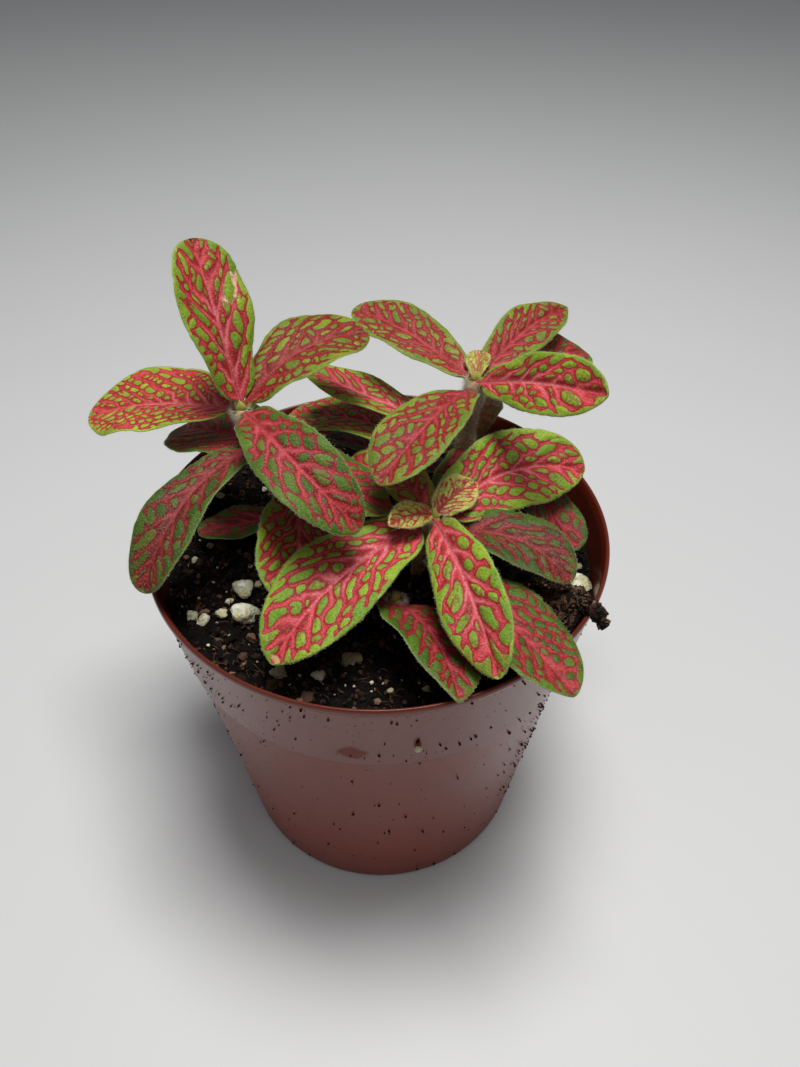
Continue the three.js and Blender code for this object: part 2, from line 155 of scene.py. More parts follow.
# Each leaf: height of its node, heading (0 = +X, 90 = +Y), rise at the stem and at the tip, turn of
# the heading, length, width, roll, and the look of its blade; then, where its outline differs from the
# common one, its own two exponents.
SHOOTS = {
    "leafy_stem_left": {
        "foot": (-15, 13, 86), "crown": (-29.5, 7, 122.5), "bow": (-1, -2, 0),
        "leaves": (
            (121.5, 120, 74, 51, 2, 36.8, 18, 20, "bold", 0.8, 0.46),
            (121.5, 44, 45, -17, -27, 35.7, 19.5, 4, "dusky", 0.9, 0.62),
            (121.5, 149.5, -9, -20, 34, 44, 25, -6, "sunny", 0.83, 0.6),
            (121, -64, 33, -51, 52, 45, 15.5, 17, "shaded", 0.86, 0.56),
            (114, 145, -8, -31, -10, 32, 22, -3, "shaded", 0.6, 0.9),
            (114, -38, 7, -31, 39, 35, 17, -5, "shaded"),
            (112, -125, 24, -53, 14, 45, 14.5, 5, "dim", 0.8, 0.5),
            (98, -77, 21, -18, -29, 39, 20, -28, "bold"),
            (89.5, -157, 7, 1, 0, 28, 12, 4, "shaded"),
        ),
    },
    "leafy_stem_front": {
        "foot": (9, -5, 86), "crown": (12, -10, 107), "bow": (0, 0, 0),
        "leaves": (
            (107, -146, 45, -9, 11, 13, 6.5, -29, "bud", 0.8, 0.75),
            (107, 51, 17, -9, -19, 14, 9, 24, "bud", 0.8, 0.7),
            (106, -76, 26, -39, 8, 43, 14, 32, "bold", 0.88, 0.64),
            (106, 116, 13, -36, 40, 35, 15, -8, "young"),
            (104.5, -140.5, 12, -34, 17.5, 47, 20.5, -7, "bold", 0.85, 0.67),
            (104.5, 43, 17, -17, -49, 42, 19, 32, "bold", 0.72, 0.55),
            (98, -12, 36, -29, -45, 36, 15, 3, "dim", 0.8, 0.6),
            (93, -58.5, 24, -15, 5.5, 52, 21.5, -17.5, "shaded", 0.96, 0.64),
        ),
    },
    "leafy_stem_back": {
        "foot": (18, 19, 86), "crown": (22, 19.5, 122), "bow": (0, 0, 0),
        "leaves": (
            (122, 85, 36, 14, -17, 8, 6, -9, "tip"),
            (121, 132, 14, 1.5, 19.5, 38.5, 16, -6, "fine", 0.83, 0.52),
            (121.5, 54, 17, -11, -8, 40, 12.5, 18, "fine", 0.93, 0.8),
            (121, -53, 34, 12, 10, 38.5, 13.5, 50, "bold", 0.8, 0.52),
            (119, -119, 28, -29, -10, 41, 17.5, 6, "fine", 0.94, 0.6),
            (116, 39, 14, -17, 3, 39, 17.5, 14, "shaded", 0.85, 0.52),
            (116, 80, -27, -82, 13, 31, 16, -17, "shaded"),
            (106, 162, 17, 8, -12, 43, 15, 7, "bold"),
            (100, 158, 18, -14, 4, 46, 21, 8, "bold"),
            (97, -32, 16, -26, -44, 38, 14, -7, "shaded"),
            (104, -106, -5, -40, 6, 21, 10, -12, "shaded"),
            (94, 156, 11, -7, 0, 34, 15, 19, "shaded"),
        ),
    },
    "leafy_stem_low": {
        "foot": (4, -20, 86), "crown": (4, -20.3, 92), "bow": (0, 0, 0),
        "leaves": (
            (90, -61.5, 37.5, -9.5, -22.5, 36, 20, -25.5, "shaded", 0.6, 0.78),
            (90.5, 165, 30, -25, 0, 17, 8, 0, "shaded"),
        ),
    },
}

# Scars: stem, leaf, place along and across the blade, half-length, half-width, direction, and 1 for a patch
# that has lost its skin.
SCARS = (
    ("leafy_stem_left", 0, 25.9, -5.2, 3.6, 1.4, -36.7, 0),
    ("leafy_stem_front", 4, 45.7, 0.3, 1.2, 0.6, 80.0, 1),
)

# Perlite stones in the soil: x, y, size, and how far the stone is stained brown; below 0, only at its
# right end.
PERLITE = (
    (-30.5, -12.5, 5.0, 0.1), (-29, -20, 5.8, 0), (-40.5, -21, 2.8, 0.1), (-38, -22, 2.8, 0.1),
    (-34.5, -20, 2.6, 0.1), (-31.5, -26.5, 1.5, 0), (-20, -36, 3.4, 0.4), (-11.5, -36.5, 2.8, 0.4),
    (-5, -32.5, 4.3, 0.9), (45.4, -12.6, 5.2, -0.8), (44, -8, 1.8, 0), (46.5, -5, 2.1, 0.2),
    (10.5, -40, 1.7, 0.3), (3, -40.5, 1.6, 0.1), (-41, 20, 2.0, 0.2), (-30, 23, 1.6, 0),
    (-40.5, 2, 1.7, 0.3), (-43, -3.5, 2.1, 0.2), (9.9, -13.9, 0.9, 0), (5.7, -17.2, 1.0, 0),
    (7.5, -13.3, 0.8, 0), (-0.7, -38.2, 1.0, 0),
    (-35.8, -28.9, 0.9, 0), (-30.1, -4.6, 1.0, 0.2), (-26.3, -15, 0.9, 0), (-33.2, -16.2, 2.0, 0.1),
    (-27.6, -10.6, 1.9, 0.1), (-21, -31.5, 1.2, 0.5),
)
# The clod lying over the rim at the heap: place and radius.
SPILL = (
    (42.6, -24.8, 95.8, 1.6), (44.1, -26.8, 97.8, 1.25), (44.9, -28.6, 98.3, 1.2),
    (45.6, -30.2, 97.8, 1.1), (46.5, -31.5, 96.6, 0.8),
)


# ================================================================ numbers
def smooth(low, high, x):
    """0 below low, 1 above high, an even S between them; low may be the larger."""
    t = np.clip((x - low) / (high - low), 0, 1)
    return t * t * (3 - 2 * t)


def noise2(x, y, seed, size=64):
    """Smooth noise of -1..1: random values on a square lattice, eased between its corners."""
    table = np.random.default_rng(seed).uniform(-1, 1, (size, size))
    i = np.floor(x).astype(int)
    j = np.floor(y).astype(int)
    u = x - i
    v = y - j
    u = u * u * (3 - 2 * u)
    v = v * v * (3 - 2 * v)
    i0, i1, j0, j1 = i % size, (i + 1) % size, j % size, (j + 1) % size
    low = table[i0, j0] * (1 - u) + table[i1, j0] * u
    high = table[i0, j1] * (1 - u) + table[i1, j1] * u
    return low * (1 - v) + high * v


def noise3(p, seed, size=24):
    """The same noise over space, for points of shape (..., 3)."""
    table = np.random.default_rng(seed).uniform(-1, 1, (size, size, size))
    cell = np.floor(p).astype(int)
    t = p - cell
    t = t * t * (3 - 2 * t)
    total = 0
    for a in (0, 1):
        for b in (0, 1):
            for c in (0, 1):
                share = (t[..., 0] if a else 1 - t[..., 0]) * (t[..., 1] if b else 1 - t[..., 1])
                share = share * (t[..., 2] if c else 1 - t[..., 2])
                corner = (cell + (a, b, c)) % size
                total = total + share * table[corner[..., 0], corner[..., 1], corner[..., 2]]
    return total


def circle(count):
    """Angles of count even steps round a circle."""
    return 2 * np.pi * np.arange(count) / count


def ring(radius, z, a):
    """Points at angles a, of a radius and a height that may each be one number or one for each angle."""
    return np.stack([radius * np.cos(a), radius * np.sin(a), z + 0 * a], -1)


def ball(rows, columns):
    """The unit ball as level rings, with a ring of no size at each pole."""
    u = np.linspace(0, np.pi, rows + 2)[:, None]
    return ring(np.sin(u), np.cos(u), circle(columns))


def unit(v):
    """Vectors divided by their lengths."""
    return v / np.maximum(np.linalg.norm(v, axis=-1, keepdims=True), 1e-12)


# ================================================================ meshes
NO_QUADS = np.zeros((0, 4), int)
NO_TRIANGLES = np.zeros((0, 3), int)


def ring_faces(rows, columns, start=0):
    """Quads between successive closed rings of the same number of points."""
    i, j = np.meshgrid(np.arange(rows - 1), np.arange(columns), indexing="ij")
    k = (j + 1) % columns
    a = start + i * columns
    return np.stack([a + j, a + k, a + columns + k, a + columns + j], -1).reshape(-1, 4)


def closed_tube(rings, first, last):
    """A closed skin over rings of shape (rows, columns, 3), with a fan to one point at each end."""
    rows, columns, _ = rings.shape
    points = np.concatenate([rings.reshape(-1, 3), [first], [last]])
    quads = ring_faces(rows, columns)
    j = np.arange(columns)
    k = (j + 1) % columns
    end = (rows - 1) * columns
    head = np.stack([k, j, np.full(columns, rows * columns)], -1)
    tail = np.stack([end + j, end + k, np.full(columns, rows * columns + 1)], -1)
    return points, quads, np.concatenate([head, tail])


def volume(points, quads, tris):
    """The volume inside a closed skin, below 0 where its faces point inwards."""
    triangles = tris
    if len(quads):
        triangles = np.concatenate([tris, quads[:, [0, 1, 2]], quads[:, [0, 2, 3]]])
    a, b, c = (points[triangles[:, i]] for i in range(3))
    return np.einsum("ij,ij->i", a, np.cross(b, c)).sum() / 6


def piece(name, points, quads, tris, material, slot, fields=None, replaces=(), smooth_shade=True):
    """A mesh object from points in millimetres, its faces turned outwards, riding on the pot's body."""
    quads = np.asarray(quads, int).reshape(-1, 4)
    tris = np.asarray(tris, int).reshape(-1, 3)
    if volume(points, quads, tris) < 0:
        quads = quads[:, ::-1]
        tris = tris[:, ::-1]
    mesh = bpy.data.meshes.new(name)
    mesh.vertices.add(len(points))
    mesh.vertices.foreach_set("co", (np.asarray(points) * MM).astype(np.float32).ravel())
    loops = np.concatenate([quads.ravel(), tris.ravel()])
    counts = np.concatenate([np.full(len(quads), 4), np.full(len(tris), 3)])
    mesh.loops.add(len(loops))
    mesh.loops.foreach_set("vertex_index", loops.astype(np.int32))
    mesh.polygons.add(len(counts))
    mesh.polygons.foreach_set("loop_start", (np.cumsum(counts) - counts).astype(np.int32))
    mesh.polygons.foreach_set("use_smooth", np.full(len(counts), smooth_shade))
    mesh.update(calc_edges=True)
    for key, values in (fields or {}).items():
        store = mesh.attributes.new(key, "FLOAT", "POINT")
        store.data.foreach_set("value", np.asarray(values, np.float32).ravel())
    mesh.materials.append(material)
    made = bpy.data.objects.new(name, mesh)
    bpy.context.scene.collection.objects.link(made)
    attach(made, "root")
    if replaces:
        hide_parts(*replaces)
    return made


def joined(parts):
    """Several (points, quads, tris) as one."""
    points, quads, tris = [], [], []
    start = 0
    for p, q, t in parts:
        points.append(p)
        quads.append(np.asarray(q, int).reshape(-1, 4) + start)
        tris.append(np.asarray(t, int).reshape(-1, 3) + start)
        start += len(p)
    return np.concatenate(points), np.concatenate(quads), np.concatenate(tris)


# ================================================================ material helpers
class Net:
    """A material with its surface shader, and short calls for building its node tree. Constants are set on
    the shader's own sockets."""

    def __init__(self, name, **constants):
        self.material = bpy.data.materials.new(name)
        self.material.use_nodes = True
        self.tree = self.material.node_tree
        self.shader = self.tree.nodes["Principled BSDF"]
        for key, value in constants.items():
            self.shader.inputs[key.replace("_", " ")].default_value = value

    def set(self, socket, value):
        if isinstance(value, bpy.types.NodeSocket):
            self.tree.links.new(value, socket)
        else:
            socket.default_value = value

    def put(self, kind, inputs=(), **settings):
        node = self.tree.nodes.new(kind)
        for key, value in settings.items():
            setattr(node, key, value)
        for socket, value in inputs:
            self.set(node.inputs[socket], value)
        return node

    def finish(self, tone, rough, normal=None):
        """The last links: colour, roughness and, where given, the bumped normal."""
        self.set(self.shader.inputs["Base Color"], tone)
        self.set(self.shader.inputs["Roughness"], rough)
        if normal is not None:
            self.set(self.shader.inputs["Normal"], normal)
        return self.material

    def field(self, name):
        return self.put("ShaderNodeAttribute", attribute_name=name).outputs["Fac"]

    def place(self):
        return self.put("ShaderNodeTexCoord").outputs["Object"]

    def math(self, operation, a, b=0.0, c=0.0):
        return self.put("ShaderNodeMath", [(0, a), (1, b), (2, c)], operation=operation).outputs[0]

    def add(self, a, b):
        return self.math("ADD", a, b)

    def times(self, a, b):
        return self.math("MULTIPLY", a, b)

    def ramp(self, value, low, high, to_low=0.0, to_high=1.0):
        inputs = [("Value", value), ("From Min", low), ("From Max", high)]
        inputs += [("To Min", to_low), ("To Max", to_high)]
        return self.put("ShaderNodeMapRange", inputs, interpolation_type="SMOOTHSTEP").outputs[0]

    def mix(self, share, a, b):
        node = self.put("ShaderNodeMix", data_type="RGBA", blend_type="MIX")
        for socket, value in ((0, share), (6, a), (7, b)):
            self.set(node.inputs[socket], value)
        return node.outputs[2]

    def away(self, where, place):
        """Distance from a fixed place."""
        inputs = [(0, where), (1, place)]
        return self.put("ShaderNodeVectorMath", inputs, operation="DISTANCE").outputs["Value"]

    def noise(self, where, scale, detail=3.0, rough=0.5):
        inputs = [("Vector", where), ("Scale", scale), ("Detail", detail), ("Roughness", rough)]
        return self.put("ShaderNodeTexNoise", inputs).outputs["Fac"]

    def bump(self, height, strength, distance):
        inputs = [("Height", height), ("Strength", strength), ("Distance", distance)]
        return self.put("ShaderNodeBump", inputs).outputs["Normal"]


def colour(red, green, blue):
    """An sRGB colour of 0..255 as linear light."""
    c = [v / 255 for v in (red, green, blue)]
    return tuple([v / 12.92 if v < 0.04045 else ((v + 0.055) / 1.055) ** 2.4 for v in c] + [1.0])


# ================================================================ materials
# The colours of each look: green field, its deeper parts, vein, the vein's dark edge, its light middle.
# Some looks are lighter or darker copies of others, painted light and painted shade, as said above each.
LEAF_LOOKS = {
    "bold": ((138, 168, 44), (108, 144, 36), (204, 60, 72), (150, 26, 38), (228, 136, 144)),
    # A lighter copy with a fine net: painted light, making up for the shade that other leaves cast on its
    # leaf.
    "sunny": ((158, 178, 54), (130, 156, 44), (204, 64, 70), (152, 30, 38), (228, 130, 132)),
    "fine": ((120, 138, 36), (94, 118, 32), (154, 34, 40), (122, 16, 24), (180, 74, 84)),
    # A darker copy of the fine look: painted shade, for a leaf that faces up and back, away from the light.
    "dusky": ((118, 136, 26), (94, 116, 24), (140, 26, 28), (112, 12, 18), (162, 60, 62)),
    # Partly the darker colour of older, lower leaves, partly painted shade for leaves that lie under others.
    "shaded": ((76, 112, 22), (54, 90, 18), (168, 42, 48), (120, 18, 32), (192, 80, 96)),
    # A darker copy of "shaded": painted shade, for one leaf that faces away from the light and one in another
    # leaf's shadow.
    "dim": ((64, 94, 20), (46, 76, 16), (128, 30, 32), (92, 14, 22), (152, 62, 70)),
    "young": ((158, 166, 52), (134, 148, 44), (198, 62, 66), (158, 34, 42), (220, 112, 112)),
    # A young leaf's yellow-green, made lighter as painted light, since the buds lie in the shade of leaves
    # above them.
    "bud": ((200, 202, 104), (184, 190, 88), (196, 74, 70), (170, 50, 54), (210, 110, 96)),
    "tip": ((186, 192, 88), (166, 176, 74), (182, 128, 78), (168, 96, 66), (194, 146, 94)),
}
# The net of each look: pitch of the side veins, width of a vein, length of a green field.
LEAF_NETS = {
    "bold": (5.4, 1.25, 3.9), "sunny": (4.3, 1.2, 2.9), "fine": (4.6, 1.2, 3.1), "dusky": (4.6, 1.2, 3.1),
    "shaded": (5.2, 1.25, 3.8), "dim": (5.2, 1.25, 3.8), "young": (4.4, 0.75, 4.4), "bud": (3.8, 0.44, 7.0),
    "tip": (3.2, 0.34, 7.0),
}
CUT_STEPS = (0.6, 0.8, 1.0, 1.3, 1.8)
CUT_CHANCES = (0.2, 0.28, 0.26, 0.16, 0.1)
BORDER_DEPTHS = (0.1, 0.4, 0.4, 0.9, 0.9, 1.7)


def leaf_material(look):
    """Green fields and red veins, told apart by the sign of the blade's own field "vein", with a dark line
    along each vein's edge, a light streak down its middle near the midrib, brown flecks, scars, darker
    specks, pale specks that are painted highlights of its fine hairs, and a pale underside."""
    lush, deep, vein_tone, line, light = [colour(*tone) for tone in LEAF_LOOKS[look]]
    net = Net("leaf_" + look, Subsurface_Weight=0.05, Specular_IOR_Level=0.22)
    where = net.place()
    vein, cell, core = net.field("vein"), net.field("cell"), net.field("core")
    along, under, edge = net.field("along"), net.field("under"), net.field("edge")
    lateral = net.field("lateral")
    fine = net.noise(where, 1300.0, 4.0)
    grain = net.noise(where, 3200.0, 2.0)
    broad = net.noise(where, 220.0, 3.0)
    ragged = net.add(vein, net.times(net.math("SUBTRACT", fine, 0.5), 0.36))
    green = net.mix(net.ramp(net.add(cell, broad), 0.5, 1.5), lush, deep)
    inland = net.times(net.ramp(lateral, 5.0, 1.8), net.ramp(cell, 0.95, 0.45))
    mottle = net.times(net.times(net.ramp(fine, 0.42, 0.62), inland), 0.8)
    green = net.mix(mottle, green, colour(120, 84, 48))
    body = net.ramp(ragged, -0.06, -0.62)
    red = net.mix(body, line, vein_tone)
    inner = net.times(net.ramp(lateral, 5.5, 0.8), net.ramp(along, 0.98, 0.5, 0.1, 1.0))
    patchy = net.times(net.ramp(fine, 0.3, 0.62, 0.1, 0.9), inner)
    red = net.mix(net.times(net.times(net.ramp(core, 0.6, 0.0), body), patchy), red, light)
    red = net.mix(net.ramp(fine, 0.54, 0.72, 0.0, 0.45), red, line)
    seam = net.times(net.ramp(lateral, 0.34, 0.12), net.ramp(along, 0.55, 0.15))
    red = net.mix(net.times(seam, 0.6), red, colour(104, 26, 34))
    red = net.mix(net.times(net.field("scar"), 0.9), red, colour(236, 196, 166))
    top = net.mix(net.ramp(ragged, -0.05, 0.08), red, green)
    top = net.mix(net.field("bare"), top, colour(206, 160, 120))
    # Pale specks from the grain noise: painted highlight, glints of the blade's fine hairs and papillae.
    top = net.mix(net.ramp(grain, 0.5, 0.72, 0.0, 0.16), top, colour(222, 200, 160))
    # Darker specks from noise over the blade.
    dark_specks = net.ramp(net.noise(where, 2200.0, 2.0), 0.52, 0.34, 0.0, 0.35)
    top = net.mix(dark_specks, top, colour(40, 24, 16))
    top = net.mix(net.times(net.ramp(edge, 0.35, 0.05), 0.35), top, colour(176, 190, 110))
    pale = net.mix(net.ramp(vein, -0.4, 0.5), colour(178, 104, 100), colour(120, 140, 84))
    bump = net.bump(net.add(net.times(fine, 0.8), grain), 0.8, 0.0002)
    return net.finish(net.mix(under, top, pale), net.math("MULTIPLY_ADD", fine, 0.25, 0.36), bump)


def pot_material():
    """Brown plastic: a redder collar with a dark line at its step, which is painted shade under the ledge; a
    dark lip;
    an inside darkened as painted shade; a matt smear, dust, and a duller skin towards the foot, whose weaker
    coat is painted shade, for the shadowed floor that it would reflect."""
    net = Net("pot_plastic", Coat_Roughness=0.12, Specular_IOR_Level=0.3)
    where = net.place()
    height = net.put("ShaderNodeSeparateXYZ", [(0, where)]).outputs["Z"]
    body = net.mix(net.noise(where, 60.0, 4.0), colour(116, 41, 22), colour(128, 48, 27))
    collar = net.ramp(height, (STEP_HEIGHT - 0.2) * MM, (STEP_HEIGHT + 0.5) * MM)
    body = net.mix(collar, body, colour(112, 47, 33))
    # A thin dark line at the step: painted shade under the collar's ledge.
    from_step = net.math("ABSOLUTE", net.math("SUBTRACT", height, (STEP_HEIGHT + 0.1) * MM))
    body = net.mix(net.times(net.ramp(from_step, 0.0005, 0.0002), 0.5), body, colour(52, 20, 13))
    lip = net.ramp(height, (POT_HEIGHT - 0.7) * MM, (POT_HEIGHT - 0.2) * MM)
    body = net.mix(lip, body, colour(92, 34, 21))
    # The inner wall darker: painted shade inside the pot.
    body = net.mix(net.field("inside"), body, colour(82, 27, 15))
    ragged = net.add(net.away(where, SMEAR_PLACE), net.times(net.noise(where, 500.0, 3.0), 0.003))
    smear = net.ramp(ragged, 0.005, 0.0036)
    body = net.mix(smear, body, colour(112, 42, 29))
    cloud = net.ramp(net.noise(where, 45.0, 2.0), 0.45, 0.62)
    dust = net.times(net.ramp(net.noise(where, 700.0, 4.0, 0.7), 0.6, 0.72), cloud)
    body = net.mix(net.times(dust, 0.5), body, colour(46, 26, 20))
    rough = net.math("MULTIPLY_ADD", net.noise(where, 30.0, 5.0, 0.6), 0.22, 0.2)
    # Less coat and more roughness towards the foot: painted shade in the reflection, for the shadowed floor.
    painted_foot_shade = net.ramp(height, 0.055, 0.005, 0, 0.6)
    dust_smear_and_foot_shade = net.math("MAXIMUM", net.math("MAXIMUM", dust, smear), painted_foot_shade)
    net.set(net.shader.inputs["Coat Weight"], net.math("MULTIPLY_ADD", dust_smear_and_foot_shade, -0.2, 0.22))
    bump = net.bump(net.noise(where, 900.0, 3.0), 0.1, 0.0002)
    return net.finish(body, net.math("MULTIPLY_ADD", dust_smear_and_foot_shade, 0.3, rough), bump)


def soil_material():
    """Near-black peat, a little lighter on its clods, with threads of brown."""
    net = Net("peat", Specular_IOR_Level=0.16)
    where = net.place()
    clods = net.noise(where, 260.0, 6.0, 0.7)
    fibre = net.noise(where, 1500.0, 3.0, 0.6)
    tone = net.mix(net.ramp(clods, 0.35, 0.7), colour(5, 4, 3), colour(20, 12, 9))
    tone = net.mix(net.ramp(fibre, 0.62, 0.8), tone, colour(66, 42, 28))
    bump = net.bump(net.add(clods, fibre), 1.0, 0.0012)
    return net.finish(tone, net.ramp(clods, 0.2, 0.8, 0.95, 0.7), bump)


def crumb_material():
    """Peat whose tone is drawn for each grain: most are near black, some brown, a few as light as straw,
    which are partly light bits of peat and partly painted highlight on lit crumbs. The brown ones lie in
    patches and on the heap."""
    net = Net("crumb", Specular_IOR_Level=0.2)
    where = net.place()
    tone = net.field("tone")
    patch = net.ramp(net.noise(where, 90.0, 2.0), 0.36, 0.56)
    patch = net.math("MAXIMUM", patch, net.ramp(net.away(where, HEAP_PLACE), 0.013, 0.006))
    brown = net.times(net.ramp(tone, 0.3, 0.75), net.math("MULTIPLY_ADD", patch, 0.85, 0.15))
    skin = net.mix(brown, colour(9, 6, 5), colour(72, 48, 35))
    # The lightest grains: partly light bits of peat, partly painted highlight on lit crumbs.
    skin = net.mix(net.times(net.ramp(tone, 0.9, 0.96), patch), skin, colour(116, 90, 66))
    bump = net.bump(net.noise(where, 2600.0, 3.0), 0.6, 0.0002)
    return net.finish(skin, net.ramp(tone, 0.2, 0.8, 0.95, 0.75), bump)


def fibre_material():
    """Dry brown threads of uneven tone."""
    net = Net("fibre", Specular_IOR_Level=0.3)
    tint = net.noise(net.place(), 500.0, 2.0)
    tone = net.mix(tint, colour(40, 26, 19), colour(96, 66, 46))
    return net.finish(tone, net.ramp(tint, 0.0, 1.0, 0.9, 0.6))


def perlite_material():
    """White to cream stone with pits, brown in its cracks and browner where the field "stain" says so."""
    net = Net("perlite", Subsurface_Weight=0.1)
    where = net.place()
    blotch = net.noise(where, 420.0, 5.0, 0.6)
    tone = net.mix(net.ramp(blotch, 0.38, 0.66), colour(188, 178, 132), colour(232, 228, 208))
    cracks = net.ramp(net.noise(where, 900.0, 3.0), 0.62, 0.74)
    tone = net.mix(cracks, tone, colour(112, 84, 52))
    brown = net.times(net.field("stain"), net.ramp(blotch, 0.25, 0.5, 0.5, 1.0))
    tone = net.mix(brown, tone, colour(104, 84, 50))
    pits = net.put("ShaderNodeTexVoronoi", [("Vector", where), ("Scale", 1500.0)]).outputs["Distance"]
    bump = net.bump(net.add(pits, blotch), 0.7, 0.0004)
    return net.finish(tone, net.ramp(blotch, 0.2, 0.8, 0.85, 0.6), bump)


def stem_material():
    """Tan skin streaked with pink, green at the tip bud."""
    net = Net("stem_skin", Subsurface_Weight=0.05)
    streak = net.noise(net.place(), 700.0, 4.0)
    tone = net.mix(net.ramp(streak, 0.35, 0.7), colour(168, 156, 96), colour(164, 112, 90))
    tone = net.mix(net.field("crown"), tone, colour(158, 158, 74))
    return net.finish(tone, net.ramp(streak, 0.2, 0.8, 0.6, 0.45), net.bump(streak, 0.5, 0.0003))


def hair_material():
    """Cream hairs."""
    net = Net("hair", Subsurface_Weight=0.1)
    tint = net.noise(net.place(), 300.0, 1.0)
    tone = net.mix(tint, colour(206, 190, 168), colour(226, 214, 196))
    return net.finish(tone, net.ramp(tint, 0.0, 1.0, 0.5, 0.7))


def floor_material():
    """Matt pale grey with a very faint cloudiness."""
    net = Net("floor", Roughness=0.6)
    tint = net.noise(net.place(), 3.0, 2.0)
    net.set(net.shader.inputs["Base Color"], net.mix(tint, colour(204, 205, 207), colour(212, 213, 214)))
    return net.material


# ================================================================ the pot
def pot_profile():
    """The pot's half section as (radius, height), walked from its foot ring up the outside, over the rim and
    down inside."""
    groove, top, foot, step = FLOOR_GROOVE, POT_HEIGHT, BASE_RADIUS, STEP_HEIGHT
    body_top = STEP_RADIUS - STEP_LEDGE
    return np.array([
        (RING_INNER_RADIUS - 1.4, groove), (RING_INNER_RADIUS, 0), (foot - 1.5, 0), (foot - 0.5, 0.4),
        (foot, 1.5), (body_top, step - 0.5), (STEP_RADIUS - 0.2, step), (STEP_RADIUS, step + 0.4),
        (COLLAR_TOP_RADIUS, top - LIP_HEIGHT), (RIM_RADIUS, top - LIP_HEIGHT + 0.7), (RIM_RADIUS, top - 0.6),
        (RIM_RADIUS - 0.2, top - 0.1), (RIM_RADIUS - 0.5, top), (RIM_RADIUS - 0.9, top - 0.3),
        (COLLAR_TOP_RADIUS - WALL, top - LIP_HEIGHT), (STEP_RADIUS - WALL, step + 1.2),
        (body_top - WALL, step - 0.3), (foot - 1.2, 2.6), (foot - 1.9, 1.3),
        (RING_INNER_RADIUS + 0.7, 1.3), (RING_INNER_RADIUS - 0.7, groove + POT_FLOOR),
    ])


def rounded(profile, turns=2, cut=0.35):
    """A polyline with each corner cut by at most `cut` millimetres, `turns` times; the ends stay."""
    for turn in range(turns):
        reach = cut / 2 ** turn
        made = [profile[0]]
        for before, corner, after in zip(profile[:-2], profile[1:-1], profile[2:]):
            for other in (before, after):
                step = other - corner
                length = np.hypot(*step)
                made.append(corner + step / length * min(reach, 0.3 * length))
        made.append(profile[-1])
        profile = np.array(made)
    return profile


def lathe(profile):
    """Rings of a turned profile of (radius, height), shape (rows, segments, 3)."""
    return ring(profile[:, :1], profile[:, 1:], circle(POT_SEGMENTS))


def drained_floor(*faces):
    """The grooved floor with its round holes, from (height, inner radius, outer radius) of its underside and
    of its upper side. Each eighth is a grid that runs from a hole's circle to the outline of its sector, made
    for both sides and joined down the hole's wall."""
    arc = POT_SEGMENTS // DRAIN_HOLES
    spoke = 10
    parts = []
    for hole in range(DRAIN_HOLES):
        start = 2 * np.pi * hole / DRAIN_HOLES
        middle = start + np.pi / DRAIN_HOLES
        centre = DRAIN_CIRCLE_RADIUS * np.array([np.cos(middle), np.sin(middle)])
        turn = start + 2 * np.pi * np.arange(arc + 1) / POT_SEGMENTS
        last, first = (np.full(spoke - 1, turn[k]) for k in (-1, 0))
        angle = np.concatenate([turn, last, turn[::-1], first])
        sheets = []
        for z, inner, outer in faces:
            legs = np.linspace(outer, inner, spoke + 1)[1:-1]
            radius = np.concatenate([np.full(arc + 1, outer), legs, np.full(arc + 1, inner), legs[::-1]])
            outline = np.stack([radius * np.cos(angle), radius * np.sin(angle)], -1)
            hole_edge = centre + DRAIN_HOLE_RADIUS * unit(outline - centre)
            t = np.linspace(0, 1, 7)[:, None, None]
            flat = hole_edge * (1 - t) + outline * t
            sheets.append(np.concatenate([flat, np.full(flat.shape[:2] + (1,), z)], -1))
        rings = np.concatenate([sheets[0][::-1], sheets[1]])
        parts.append((rings.reshape(-1, 3), ring_faces(*rings.shape[:2])[:, ::-1], NO_TRIANGLES))
    return joined(parts)


def pad(profile, way):
    """A turned profile that ends near the middle, closed by a fan to its middle point; a way of -1 turns its
    faces."""
    rings = lathe(rounded(np.array(profile), 1))
    points = np.concatenate([rings.reshape(-1, 3), [(0, 0, profile[-1][1])]])
    j = np.arange(POT_SEGMENTS)
    last = (len(rings) - 1) * POT_SEGMENTS
    fan = np.stack([last + j, last + (j + 1) % POT_SEGMENTS, 0 * j + len(points) - 1], -1)
    return points, ring_faces(*rings.shape[:2])[:, ::way], fan[:, ::way]


def merged(points, quads, tris, step=1e-3):
    """The same faces with points that coincide made one."""
    key = np.round(points / step).astype(np.int64)
    _, first, back = np.unique(key, axis=0, return_index=True, return_inverse=True)
    back = back.ravel()
    return points[first], back[quads], back[tris]


